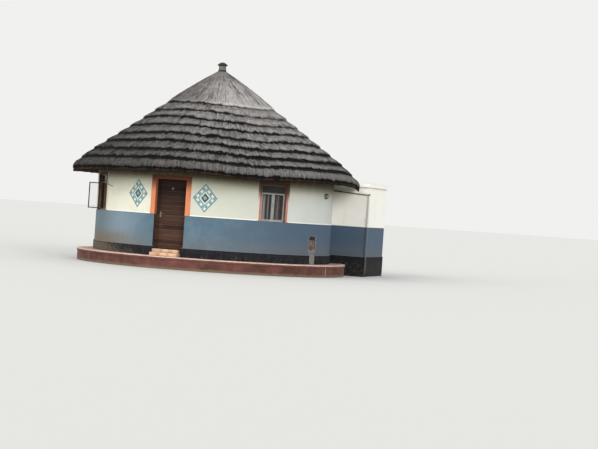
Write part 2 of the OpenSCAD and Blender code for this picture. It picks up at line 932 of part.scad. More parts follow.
floor_base();
apron_base();
apron_slab();
door_step();
plinth();
lower_wall(-180, 0);  // lower_wall_left
lower_wall(0, 180);  // lower_wall_right
upper_wall(-window_az, 0);  // wall_front_left
upper_wall(0, window_az);  // wall_front_right
upper_wall(window_az - 180, -window_az);  // wall_left
upper_wall(passage_az, window_az + 180);  // wall_back
upper_wall(window_az, passage_az);  // wall_right
ring_beam();
door_surround();
window_surrounds();
door_frame();
door_hinges();
door_leaf();
hinge_leaves();
door_handle();
window_left();
window_right();
window_back();
window_annex();
window_glass();
curtain_left();
curtain_right();
curtain_rods();
wall_lamp();
wall_plate();
rafters();
roof_laths();
roof_hub();
for (k = [1 : courses]) thatch_course(k);
thatch_cap();
finial_neck();
finial_lid();
annex_base();
annex_floor();
annex_lower_walls();
annex_upper_walls();
annex_roof();
annex_pipes();
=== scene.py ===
"""Looks of a round thatched hut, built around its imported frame. Everything is in metres."""
import math

import bmesh
import bpy
import numpy as np
from mathutils import Matrix, Quaternion, Vector


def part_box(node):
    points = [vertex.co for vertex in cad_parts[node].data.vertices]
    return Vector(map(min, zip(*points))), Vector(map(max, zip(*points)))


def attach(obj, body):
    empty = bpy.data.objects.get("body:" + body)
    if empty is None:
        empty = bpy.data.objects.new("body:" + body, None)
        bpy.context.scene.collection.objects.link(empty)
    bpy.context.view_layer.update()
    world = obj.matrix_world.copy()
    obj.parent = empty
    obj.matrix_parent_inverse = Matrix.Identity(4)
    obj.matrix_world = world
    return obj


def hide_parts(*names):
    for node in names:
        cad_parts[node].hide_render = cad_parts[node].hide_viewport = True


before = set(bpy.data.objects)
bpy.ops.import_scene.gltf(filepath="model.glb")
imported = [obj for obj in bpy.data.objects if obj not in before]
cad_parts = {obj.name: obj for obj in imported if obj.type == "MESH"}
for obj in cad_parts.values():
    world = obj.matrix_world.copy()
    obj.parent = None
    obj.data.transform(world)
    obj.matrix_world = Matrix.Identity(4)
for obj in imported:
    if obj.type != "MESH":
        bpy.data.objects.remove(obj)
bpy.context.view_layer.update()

# Image and camera
IMAGE_W = 598
FOCAL_PX = 1600
SENSOR_W = 36
EYE = Vector((17.617, -45.895, 1.85))
HEADING = Vector((-0.3083, 0.9513))
LOOK_DOWN = math.radians(0.42)
ROLL = math.radians(3.95)
# Azimuth of the camera, and the way along the hut's width as it is seen from there
CAMERA_AZ = math.radians(21)
WIDTH_WAY = np.array([math.cos(CAMERA_AZ), math.sin(CAMERA_AZ)])

# Roof lines, shared with the frame
PITCH = math.radians(35.5)
DOWN = np.array([math.cos(PITCH), -math.sin(PITCH)])
OUT = np.array([math.sin(PITCH), math.cos(PITCH)])
THATCH_T = 0.220
BUTT_T = 0.030
LAP = 0.110
COURSES = 8
EAVE_R = 4.370
# The eave's lowest point, and its rounded butt
EAVE_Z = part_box("thatch_course_1")[0].z
EAVE_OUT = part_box("thatch_course_1")[1].x
# Radius at which each course above the first begins, then that of the cap
LEDGE_RADII = [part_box(f"thatch_course_{k}")[1].x for k in range(2, COURSES + 1)] + [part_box("thatch_cap")[1].x]
# Block of the annex, which the thatch over it is cut flat to
SLAB_LOW, SLAB_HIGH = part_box("annex_roof")
TRIM_GAP = 0.005

# Walls
WALL_R = 3.600
INNER_R = 3.370
PLINTH_R = 3.620
APRON_Z, PLINTH_Z, BELT_Z, HEAD_Z, STEP_Z = (
    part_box(name)[1].z for name in ("apron_slab", "plinth", "lower_wall_left", "wall_left", "door_step"))
WINDOW_Z = 2.590
TRANSOM_Z = 2.350
# Azimuths of the left, right and back windows, and half the width of a window and of the doorway
WINDOW_AZS = (-49.0, 49.0, -131.0)
WINDOW_HALF = 0.405
DOOR_HALF = 0.470
# The hole in the plaster: its azimuth, its place along the wall and up, and its flat back
PATCH_AZ = 75.5
PATCH_X = (-0.195, 0.195)
PATCH_Z = (0.740, 1.180)
PATCH_Y = -3.584
LAMP_AZ = 86.0
LAMP_Z = 2.390

# Widths of a column of a thatch mesh, of a bundle and of a tuft, and straws to the metre
COLUMN_W = 0.023
BUNDLE_W = 0.17
TUFT_W = 0.14
LIP_PER_M = 95
LYING_PER_M = 90
CAP_STRAWS = 2200
# Where the eave sags: azimuth and spread in degrees, and how far
SAGS = [(-78, 40, 0.070), (103, 11, 0.105)]
# Where a ledge lies lower or higher: course, azimuth and spread in degrees, and how far down the slope
LEDGE_DIPS = [(9, -12, 26, 0.075), (8, -26, 26, 0.060), (9, 75, 24, -0.045)]
# Where the roof has settled unevenly, by the distance along its width: place, spread, how far, and
# whether only the side towards the camera has
SETTLED = [(-1.35, 0.90, -0.055, False), (1.15, 0.80, 0.055, True)]
# The cap and the finial stand a little to the left of the middle
LEAN = -0.060 * WIDTH_WAY
LEAN_Z = (5.15, 5.95)

TURN = 2 * math.pi
SEED = 1147


def random_source(name):
    """A random source for each kind of thing, so that a change to one leaves the rest as they are."""
    return np.random.default_rng([SEED] + [ord(letter) for letter in name])


def tint(code):
    """A colour written as in a picture editor, in the shader's own linear values."""
    parts = [int(code[i:i + 2], 16) / 255 for i in (1, 3, 5)]
    return tuple(c / 12.92 if c <= 0.04045 else ((c + 0.055) / 1.055) ** 2.4 for c in parts) + (1.0,)


# Node trees

def math_node(operation):
    """The work of a Math node, as a method of Value."""
    return lambda value, *others: value.tree.math(operation, value, *others)


class Value:
    """A number or colour that a node works out. Numbers can be added, multiplied and compared."""

    __add__ = math_node("ADD")
    __sub__ = math_node("SUBTRACT")
    __mul__ = math_node("MULTIPLY")
    __truediv__ = math_node("DIVIDE")
    __lt__ = math_node("LESS_THAN")
    __gt__ = math_node("GREATER_THAN")
    __abs__ = math_node("ABSOLUTE")

    def __init__(self, tree, socket):
        self.tree = tree
        self.socket = socket

    def sine(self, rate):
        return self.tree.math("SINE", self * rate)

    def rise(self, low, high):
        """From 0 at low to 1 at high, smoothly, or the other way where low is the larger."""
        return self.tree.node("ShaderNodeMapRange", (self, low, high), interpolation_type="SMOOTHSTEP")

    def within(self, low, high, soft):
        """1 between two values, with soft edges."""
        return self.rise(low - soft, low + soft) * self.rise(high + soft, high - soft)

    def ramp(self, *stops):
        """Colours at places from 0 to 1."""
        made = self.tree.node("ShaderNodeValToRGB", (self,))
        elements = made.socket.node.color_ramp.elements
        while len(elements) < len(stops):
            elements.new(0.5)
        for element, (place, colour) in zip(elements, stops):
            element.position = place
            element.color = tint(colour)
        return made


class Tree:
    """Short calls for the nodes of a material or of the world."""

    def __init__(self, owner):
        owner.use_nodes = True
        self.nodes = owner.node_tree.nodes
        self.links = owner.node_tree.links

    def feed(self, socket, value):
        if isinstance(value, Value):
            self.links.new(value.socket, socket)
        else:
            socket.default_value = tint(value) if isinstance(value, str) else value

    def node(self, kind, inputs=(), output=0, **settings):
        """An output of a new node with these settings and these inputs, by number or name."""
        made = self.nodes.new(kind)
        for key, value in settings.items():
            setattr(made, key, value)
        for key, value in inputs.items() if isinstance(inputs, dict) else enumerate(inputs):
            self.feed(made.inputs[key], value)
        return Value(self, made.outputs[output])

    def math(self, operation, *values):
        return self.node("ShaderNodeMath", values, operation=operation)

    def mix(self, share, a, b):
        return self.node("ShaderNodeMix", {0: share, 6: a, 7: b}, 2, data_type="RGBA")

    def seen_directly(self):
        """1 for rays from the camera, or by way of gloss or glass, and 0 for those that only light things."""
        camera, gloss, glass = (self.node("ShaderNodeLightPath", output=kind)
                                for kind in ("Is Camera Ray", "Is Glossy Ray", "Is Transmission Ray"))
        return self.math("MAXIMUM", self.math("MAXIMUM", camera, gloss), glass)


class Paint(Tree):
    """A material, whose colour starts as a ramp over a base noise and is built up in layers."""

    def __init__(self, name, noise=None, *stops):
        self.material = bpy.data.materials.new(name)
        super().__init__(self.material)
        self.place = self.node("ShaderNodeTexCoord", output="Object")
        self.x, self.y, self.z = (self.node("ShaderNodeSeparateXYZ", (self.place,), axis) for axis in "XYZ")
        if noise:
            self.base = self.noise(*noise)
            self.colour = self.base.ramp(*stops)

    def radius(self):
        return self.math("SQRT", self.x * self.x + self.y * self.y)

    def azimuth(self):
        """Azimuth from the door, in radians, positive towards +X."""
        return self.math("ARCTAN2", self.x, self.y * -1)

    def sideways(self, azimuth):
        """Distance to the right of the middle, as seen from an azimuth in radians."""
        return self.x * math.cos(azimuth) + self.y * math.sin(azimuth)

    def across(self, azimuth):
        """Distance from the middle of an opening, along the wall, and 1 on the opening's side of the hut."""
        a = math.radians(azimuth)
        return abs(self.sideways(a)), self.x * math.sin(a) - self.y * math.cos(a) > 0

    def reveal(self, azimuth, half, top):
        """1 on the faces of a wall that look into an opening."""
        edge = 0.003
        side, front = self.across(azimuth)
        return (side < half + edge) * front * (self.z < top + edge)

    def attribute(self, name, output="Fac"):
        return self.node("ShaderNodeAttribute", output=output, attribute_name=name)

    def noise(self, scale, detail=3, roughness=0.5, place=None):
        """Noise with that many features to the metre, which may differ along x, y and z."""
        scales = scale if isinstance(scale, tuple) else (scale,) * 3
        stretched = self.node("ShaderNodeVectorMath", (place or self.place, scales), operation="MULTIPLY")
        settings = {"Vector": stretched, "Scale": 1, "Detail": detail, "Roughness": roughness}
        return self.node("ShaderNodeTexNoise", settings, "Fac")

    def layer(self, share, colour):
        """Lays a colour over that share of the one so far."""
        self.colour = self.mix(share, self.colour, colour)

    def coat(self, roughness, relief=None, **values):
        """Finishes the material. Its relief has a height, which may be a noise, a distance and a strength."""
        values.update(Base_Color=self.colour, Roughness=roughness)
        if relief:
            height, distance, strength = relief
            height = height if isinstance(height, Value) else self.noise(*height)
            settings = {"Height": height, "Distance": distance, "Strength": strength}
            values["Normal"] = self.node("ShaderNodeBump", settings)
        for key, value in values.items():
            self.feed(self.nodes["Principled BSDF"].inputs[key.replace("_", " ")], value)
        return self.material


# Camera, lights and stage

def make_camera():
    data = bpy.data.cameras.new("camera")
    data.sensor_width = SENSOR_W
    data.lens = FOCAL_PX * SENSOR_W / IMAGE_W
    data.clip_end = 2000
    camera = bpy.data.objects.new("camera", data)
    level = HEADING.normalized() * math.cos(LOOK_DOWN)
    aim = Vector((level.x, level.y, -math.sin(LOOK_DOWN)))
    camera.rotation_mode = "QUATERNION"
    camera.rotation_quaternion = aim.to_track_quat("-Z", "Y") @ Quaternion((0, 0, 1), ROLL)
    camera.location = EYE
    bpy.context.scene.collection.objects.link(camera)
    bpy.context.scene.camera = camera


def make_sun(name, azimuth, elevation, strength, softness):
    """A lamp like a sun behind thin cloud, that shines from that azimuth and elevation in degrees."""
    data = bpy.data.lights.new(name, "SUN")
    data.energy = strength
    data.angle = math.radians(softness)
    data.color = (1.0, 0.99, 0.96)
    lamp = bpy.data.objects.new(name, data)
    a, e = math.radians(azimuth), math.radians(elevation)
    source = Vector((math.sin(a) * math.cos(e), -math.cos(a) * math.cos(e), math.sin(e)))
    lamp.rotation_mode = "QUATERNION"
    lamp.rotation_quaternion = source.to_track_quat("Z", "Y")
    bpy.context.scene.collection.objects.link(lamp)


def make_world(background, light, strength):
    world = bpy.data.worlds.new("sky")
    sky = Tree(world)
    sky.nodes.clear()
    lit = sky.node("ShaderNodeBackground", {"Color": light, "Strength": strength})
    seen = sky.node("ShaderNodeBackground", {"Color": background, "Strength": 1})
    out = sky.nodes.new("ShaderNodeOutputWorld")
    sky.feed(out.inputs["Surface"], sky.node("ShaderNodeMixShader", (sky.seen_directly(), lit, seen)))
    bpy.context.scene.world = world


def make_floor(radius, seen_colour, lit_colour):
    """A wide pale floor that throws back only as much light as grass does."""
    mesh = bpy.data.meshes.new("floor")
    work = bmesh.new()
    bmesh.ops.create_circle(work, cap_ends=True, segments=96, radius=radius)
    work.to_mesh(mesh)
    work.free()
    floor = bpy.data.objects.new("floor", mesh)
    floor.location.z = -0.002
    bpy.context.scene.collection.objects.link(floor)
    paint = Paint("floor")
    paint.colour = paint.mix(paint.seen_directly(), lit_colour, seen_colour)
    mesh.materials.append(paint.coat(0.9))


# Materials

# A noise as its features to the metre, detail and roughness, and a relief as its noise, distance and strength
BAND_STREAKS = ((12, 12, 2), 4, 0.6)
BAND_RELIEF = ((70, 4, 0.6), 0.002, 0.5)
STEEL_RELIEF = ((120, 3, 0.6), 0.0006, 0.5)
MORTAR_RELIEF = ((60, 5, 0.7), 0.004, 0.9)
APRON_RELIEF = ((30, 5, 0.7), 0.003, 0.7)


def float_marks(paint):
    """Relief of a hand-laid render: float marks and fine grain."""
    return paint.noise(90, 4, 0.6) * 0.25 + paint.noise(5) * 1.5, 0.004, 0.8


def inside_paint(paint):
    paint.layer(paint.radius().rise(3.47, 3.44), "#D2CDBB")


def wall_diamonds(paint, azimuth, height):
    """A painted panel of nested diamonds beside the door, in teal, grey-blue and dark."""
    half_w, half_h, blur = 0.36, 0.42, 0.02
    across = (paint.azimuth() - math.radians(azimuth)) * WALL_R / half_w
    up = (paint.z - height) / half_h
    edge = abs(across) + abs(up)
    worn = paint.noise(14, 4, 0.6).rise(0.28, 0.42)
    for reach, code in ((0.98, "#4F7F8E"), (0.86, "#D6D6C2"), (0.60, "#6E96A3"), (0.46, "#D9D6C0"),
                        (0.34, "#3D5058"), (0.15, "#7FA9B3")):
        paint.layer(edge.rise(reach + blur, reach - blur) * worn, code)
    checks = (across + up).sine(10.5) * (across - up).sine(10.5)
    paint.layer(edge.within(0.62, 0.84, blur) * checks.rise(-0.05, 0.12) * worn, "#5B8C99")


def cream_wall(name, *diamonds):
    """Cream paint on plaster, with painted shade that makes it greyer to the right and dark under the eave, where
    streaks break it up, and with a whiter line along the belt and browner paint on the faces that look into the
    openings."""
    paint = Paint(name, (1.7, 5, 0.6), (0.3, "#D6D4C2"), (0.5, "#E0DECD"), (0.7, "#E6E4D6"))
    x, z, blotch = paint.x, paint.z, paint.base
    streaks = paint.noise((9, 9, 0.8), 4, 0.6)
    # Painted shade: the wall turns greyer towards the right of the hut.
    paint.layer(x.rise(-1.3, 0.9), paint.mix(blotch, "#C0C2B5", "#CECFC3"))
    paint.layer(x.rise(1.6, 3.2), paint.mix(blotch, "#C2C5C0", "#D2D5CF"))
    # Painted shade under the eave: faint and broad, then strong and olive-brown, lower on the right and broken by
    # streaks.
    paint.layer(z.rise(1.95, 2.75) * 0.35, "#B0A67E")
    begin = x.rise(1.2, 2.6) * -0.12 + 2.44
    paint.layer(z.rise(begin, 2.74) * (streaks * 0.44 + 0.66), "#56461F")
    # Painted shade: dark brown at the top of the wall over the right window, under the eave.
    side, front = paint.across(WINDOW_AZS[1])
    paint.layer(side.rise(0.54, 0.50) * front * z.rise(2.66, 2.69) * 0.85, "#46271C")
    paint.layer(streaks.rise(0.60, 0.78) * 0.22, "#B5AE93")
    for azimuth, height in diamonds:
        wall_diamonds(paint, azimuth, height)
    paint.layer(z.rise(BELT_Z + 0.034, BELT_Z + 0.020) * 0.8, "#F3F2E8")
    inside_paint(paint)
    for azimuth, code in zip(WINDOW_AZS, ("#4A342B", "#94604C", "#94604C")):
        paint.layer(paint.reveal(azimuth, WINDOW_HALF, WINDOW_Z), code)
    paint.layer(paint.reveal(0, DOOR_HALF, HEAD_Z), "#A5603F")
    return paint.coat(0.85, float_marks(paint))


def blue_wall():
    """Blue-grey paint, dusty and stained on the left, with painted light that makes it paler on the left and
    painted shade that makes it darker on the right and towards the far left, and splashed with earth low down.
    """
    paint = Paint("wall_blue", (2.2, 5, 0.6), (0.3, "#465E6F"), (0.5, "#4D6576"), (0.7, "#587081"))
    x, z = paint.x, paint.z
    left, far_left = x.rise(-0.4, -1.9), x.rise(-1.6, -2.8)
    paint.layer(paint.noise((3, 3, 14), 4, 0.65).rise(0.58, 0.75) * 0.18, "#8B99A2")
    # Painted shade: darker towards the right.
    paint.layer(x.rise(0.9, 3.4) * 0.85, "#415468")
    # Painted light: paler on the left; painted shade: darker again towards the far left.
    paint.layer(left * 0.80, "#80929F")
    paint.layer(far_left * 0.58, "#4C5A5C")
    stains = paint.noise((10, 10, 0.9), 4, 0.6).rise(0.50, 0.68)
    paint.layer(stains * left * 0.30, "#5B6A72")
    splash = z.rise(PLINTH_Z + 0.62, PLINTH_Z) * 0.90 + paint.noise(6, 6, 0.75) * 0.6
    earth = far_left * 0.26 + left * 0.36 + 0.36
    paint.layer(splash.rise(0.36, 1.14) * earth, paint.mix(left, "#605D58", "#6B6150"))
    paint.layer(z.rise(BELT_Z - 0.030, BELT_Z - 0.015) * 0.5, "#465560")
    inside_paint(paint)
    paint.layer(paint.reveal(0, DOOR_HALF, HEAD_Z), "#35261F")
    return paint.coat(0.75, float_marks(paint))


def black_plinth(name):
    """Blue-black paint with a pale line on its top edge and a painted shadow line under it, and earth washed onto
    it, most at the left."""
    paint = Paint(name, (4, 5, 0.65), (0.35, "#17161B"), (0.6, "#1F1F24"), (0.8, "#2D2D33"))
    earth = paint.x.rise(-0.6, -3.4) * 0.60 + paint.z.rise(PLINTH_Z, APRON_Z) * 0.20 + paint.noise(9, 5, 0.7)
    paint.layer(earth.rise(0.62, 1.15) * 0.85, "#665E4E")
    # Painted shadow line just under the top edge.
    paint.layer(paint.z.within(PLINTH_Z - 0.034, PLINTH_Z - 0.016, 0.006) * 0.7, "#0C0B10")
    paint.layer(paint.z.rise(PLINTH_Z - 0.014, PLINTH_Z - 0.006) * 0.8, "#77777C")
    return paint.coat(0.8, ((60, 4, 0.6), 0.002, 0.6), Specular_IOR_Level=0.15)


def door_band():
    """Orange paint, with painted shade that turns it brown over the door and up under the eave."""
    paint = Paint("band_door", BAND_STREAKS, (0.3, "#C97850"), (0.55, "#D6835C"), (0.75, "#E09471"))
    # Painted shade under the eave.
    paint.layer(paint.z.rise(2.15, 2.60) * 0.86, "#4C2A1A")
    return paint.coat(0.7, BAND_RELIEF, Specular_IOR_Level=0.3)


def window_band():
    """Pink-brown paint with a pale outer edge, with painted shade that turns it dark brown up under the eave, and
    dark brown paint all over at the left window."""
    paint = Paint("band_window", BAND_STREAKS, (0.3, "#9C7165"), (0.55, "#AA7E71"), (0.75, "#B68D80"))
    side, front = paint.across(WINDOW_AZS[1])
    paint.layer(side.rise(0.470, 0.482) * front, "#DDC8B7")
    # Painted shade under the eave.
    paint.layer(paint.z.rise(2.05, 2.48) * 0.92, "#3E231A")
    side, front = paint.across(WINDOW_AZS[0])
    brown = (side < 0.7) * front
    paint.layer(brown, paint.mix(paint.base, "#3A2822", "#523C31"))
    paint.layer(side.rise(0.452, 0.460) * brown, "#D9C4B2")
    return paint.coat(0.7, BAND_RELIEF, Specular_IOR_Level=0.3)


def door_boards():
    """Dark varnished boards: each with its own tone and paler patches, a painted highlight along its upper edge
    and a dark groove line at its foot widened with painted shade, and painted shade that darkens the door up
    towards the eave.
    """
    foot_z, board_h = 0.558, 0.1382
    paint = Paint("door_wood")
    place = (paint.z - foot_z) / board_h
    board, share = (paint.math(part, place) for part in ("FLOOR", "FRACT"))
    own = paint.node("ShaderNodeTexWhiteNoise", {"W": board}, "Value", noise_dimensions="1D")
    grain = paint.noise((2.5, 30, 60), 5, 0.65)
    paint.colour = (own * 0.28 + grain * 0.72).ramp((0.25, "#2B1C16"), (0.5, "#412E26"), (0.8, "#5A4135"))
    paint.layer(paint.noise(3, 5, 0.7).rise(0.58, 0.78) * 0.40, "#7A5B4C")
    # Painted highlight along the top edge of each board, and a dark groove line at its foot widened with painted
    # shade.
    paint.layer(share.rise(0.90, 0.97) * 0.45, "#8A7266")
    paint.layer(share.rise(0.10, 0.03) * 0.8, "#120D0C")
    # Painted shade under the eave, darkening the door up towards its head.
    paint.layer(paint.z.rise(1.2, 2.45) * 0.60, "#17151A")
    return paint.coat(0.6, (grain, 0.0015, 0.7), Specular_IOR_Level=0.05)


def steel_paint(name, pale, dark):
    return Paint(name, (6, 4, 0.6), (0.35, dark), (0.65, pale))


def painted_steel(name, pale, dark):
    """Old paint on steel, with some rust at its thin places."""
    paint = steel_paint(name, pale, dark)
    paint.layer(paint.noise(38, 5, 0.7).rise(0.64, 0.74) * 0.7, "#7A5138")
    return paint.coat(0.45, STEEL_RELIEF)


def window_steel():
    """Pale paint on the casements of the windows, and dark on the frame round them."""
    casement_half = 0.374
    paint = steel_paint("window_paint", "#9B9E99", "#7F8380")
    right, back = ((side < casement_half) * front for side, front in map(paint.across, WINDOW_AZS[1:]))
    pale = paint.z.rise(TRANSOM_Z, TRANSOM_Z - 0.006) * (right + back)
    paint.colour = paint.mix(pale, "#4A423B", paint.colour)
    return paint.coat(0.5, STEEL_RELIEF)


def left_window_steel():
    """Stained paint on the left window: paler on the bars nearest the door, dark on the open casement."""
    paint = steel_paint("window_brown", "#77634F", "#544438")
    paint.layer(paint.sideways(math.radians(WINDOW_AZS[0])).rise(0.335, 0.345), "#F6ECDD")
    paint.layer(paint.radius().rise(3.57, 3.60), "#2A1D16")
    return paint.coat(0.5, STEEL_RELIEF, Specular_IOR_Level=0.3)


def worn_metal(name, pale, dark, roughness):
    """Bare metal with stains, darker high up the door."""
    paint = Paint(name, (40, 4, 0.7), (0.35, dark), (0.65, pale))
    paint.layer(paint.z.rise(1.9, 2.2), "#574A42")
    return paint.coat(roughness, (((300, 300, 40), 3, 0.5), 0.0003, 0.5), Metallic=1.0)


def window_glass():
    """Panes: clear in the casements, and grey with dust in the top lights."""
    paint = Paint("window_pane")
    top = paint.z.rise(TRANSOM_Z, TRANSOM_Z + 0.015)
    paint.colour = paint.mix(top, "#8D9594", paint.mix(paint.noise(5, 4, 0.6), "#2C2B29", "#45443F"))
    return paint.coat(0.10, Specular_IOR_Level=0.08, Alpha=top * 0.80 + 0.05)


def curtain_cloth():
    """Grey-mauve cloth with broad dark upright stripes, brown on one side, and a fine weave. At the left
    window it is bleached pale."""
    stripe_w, thread = 0.150, 2400
    paint = Paint("curtain_cloth")
    azimuth = paint.azimuth()
    streaks = paint.noise((34, 34, 0.5), 3, 0.6)
    stripes = (paint.noise((6, 6, 1.2), 2) * 0.05 + azimuth * INNER_R).sine(TURN / stripe_w)
    paint.colour = (stripes * 0.22 + streaks).ramp((0.36, "#141113"), (0.52, "#5F5857"), (0.68, "#A8A09C"))
    brown = (azimuth - math.radians(WINDOW_AZS[1])).rise(0.03, 0.06)
    paint.layer(brown * 0.7, paint.mix(streaks, "#1E1412", "#5A4038"))
    far_half = azimuth.rise(math.radians(WINDOW_AZS[0] + 1), math.radians(WINDOW_AZS[0] - 1))
    paint.layer((azimuth < 0) * (far_half * -0.4 + 0.9), "#E2D8CA")
    weave = paint.z.sine(thread) * paint.x.sine(thread)
    return paint.coat(0.9, (weave * 0.2 + paint.noise(25), 0.001, 0.5), Sheen_Weight=0.2)


def pole_wood():
    """Barked poles and laths, grey-brown and smoked."""
    paint = Paint("roof_pole", (30, 5, 0.7), (0.3, "#4F3B2B"), (0.55, "#75593F"), (0.8, "#93765A"))
    return paint.coat(0.75, (paint.base, 0.003, 0.8))


def floor_cement():
    paint = Paint("floor_cement", (3, 5, 0.65), (0.3, "#8B8076"), (0.55, "#A3988C"), (0.8, "#B3A99C"))
    return paint.coat(0.6, ((40, 4, 0.6), 0.002, 0.5))


def brick():
    paint = Paint("patch_brick", (9, 5, 0.7), (0.34, "#3A2A23"), (0.5, "#6E5447"), (0.68, "#92796A"))
    return paint.coat(0.95, ((80, 5, 0.7), 0.004, 0.9))


def grey_mortar(name, pale, dark):
    return Paint(name, (18, 5, 0.7), (0.3, dark), (0.7, pale)).coat(0.9, MORTAR_RELIEF)


def mortar():
    """Grey mortar, which blue paint half covers above the plinth."""
    paint = Paint("patch_mortar", (18, 5, 0.7), (0.3, "#575552"), (0.7, "#85827C"))
    paint.layer(paint.z.rise(PLINTH_Z - 0.01, PLINTH_Z + 0.06) * (paint.base * 0.6 + 0.4), "#5E646B")
    return paint.coat(0.9, MORTAR_RELIEF)


def broken_plaster():
    """The edge of the hole: pale bare render at the right and below, and mostly blue paint elsewhere."""
    paint = Paint("patch_rim")
    right = (paint.azimuth() - math.radians(PATCH_AZ)).rise(0.035, 0.055)
    pale = paint.math("MAXIMUM", right, paint.z.rise(0.86, 0.76))
    chips = paint.noise(24, 5, 0.7).rise(0.42, 0.58)
    paint.colour = paint.mix(chips, "#4C5A66", "#5C6870")
    paint.layer(chips * (pale * 0.75 + 0.20), "#9C9793")
    return paint.coat(0.9, MORTAR_RELIEF)


def step_tiles():
    paint = Paint("step_tile", (5, 5, 0.6), (0.3, "#A58064"), (0.55, "#C09A7C"), (0.8, "#D6B99C"))
    paint.layer(paint.noise(11, 5, 0.7).rise(0.55, 0.8) * 0.5, "#8C6850")
    return paint.coat(0.55, ((70, 3, 0.6), 0.001, 0.4))


def lamp_glass():
    """Old frosted glass, mottled with dust, with painted shade at its top and foot."""
    paint = Paint("lamp_glass")
    dust = paint.noise(45, 4, 0.6)
    paint.colour = paint.mix(dust.rise(0.4, 0.7), "#9A957C", "#6F6850")
    # Painted shade at the top and foot of the globe.
    paint.layer(abs(paint.z - LAMP_Z).rise(0.030, 0.062), "#35332A")
    return paint.coat(0.4, (dust, 0.0006, 0.4), Specular_IOR_Level=0.3)


def apron_face():
    """Dirty red-brown paint, with a pale joint by the mortar strip and earth along the foot."""
    joint_az = math.radians(76.4)
    paint = Paint("apron_face", (2.5, 5, 0.65), (0.35, "#40241B"), (0.5, "#5A312A"), (0.7, "#6E4038"))
    paint.layer(paint.noise((5, 5, 9), 5, 0.7).rise(0.56, 0.72) * 0.35, "#7D6257")
    paint.layer(abs(paint.azimuth() - joint_az).rise(0.0045, 0.0025) * 0.75, "#B9A59B")
    foot = paint.z.rise(0.14, 0.0) + paint.noise(7, 5, 0.7)
    paint.layer(foot.rise(0.75, 1.35) * 0.8, "#6B5E4A")
    return paint.coat(0.85, APRON_RELIEF)


def apron_top():
    """Pale pink cement, rubbed in places, with the red-brown of the face on the lower part of its edge."""
    paint = Paint("apron_top", (3.5, 5, 0.65), (0.3, "#BFA094"), (0.55, "#D8BDB0"), (0.8, "#E6D0C5"))
    paint.layer(paint.noise((8, 8, 12), 6, 0.75).rise(0.56, 0.66) * 0.6, "#9C7C70")
    paint.layer(paint.radius().rise(4.05, 3.90) * 0.55, "#8D7468")
    edge = paint.noise(10, 4, 0.6) * 0.020 + paint.z
    paint.layer(edge.rise(APRON_Z - 0.008, APRON_Z - 0.016), "#63392F")
    return paint.coat(0.85, APRON_RELIEF)


def annex_plaster():
    """The annex's cream plaster, painted paler than the hut's as painted light, with rain marks under its slab
    and weathered cement on top of it.
    """
    top = SLAB_HIGH.z
    # Painted light: the base cream is paler than the hut's walls, standing for the light on the annex's front.
    paint = Paint("annex_cream", (1.6, 5, 0.6), (0.3, "#F4F0E8"), (0.55, "#F9F6EF"), (0.75, "#FCFAF5"))
    paint.layer(paint.noise((11, 11, 0.7), 4, 0.6).rise(0.56, 0.78) * 0.18, "#B5AEA2")
    cement = paint.noise(2, 5, 0.65).ramp((0.3, "#8D8A81"), (0.6, "#ABA79D"))
    paint.layer(paint.z.rise(top - 0.006, top - 0.002), cement)
    return paint.coat(0.85, float_marks(paint))


def pipe_paint():
    """A pipe painted over with each band of the wall behind it, greyer and darker near the slab, and its dark
    clip."""
    paint = Paint("pipe_grey")
    paint.colour = paint.mix(paint.z > PLINTH_Z, "#2B2B30", "#4C5A67")
    paint.layer(paint.z > BELT_Z, "#E4E0D6")
    paint.layer(paint.z.rise(2.50, 2.54), "#857C6C")
    paint.layer(paint.x.within(3.395, 3.450, 0.002) * paint.z.rise(2.45, 2.50), "#2A2622")
    paint.layer(paint.noise(14, 4, 0.6) * 0.3, "#6A6355")
    return paint.coat(0.6)


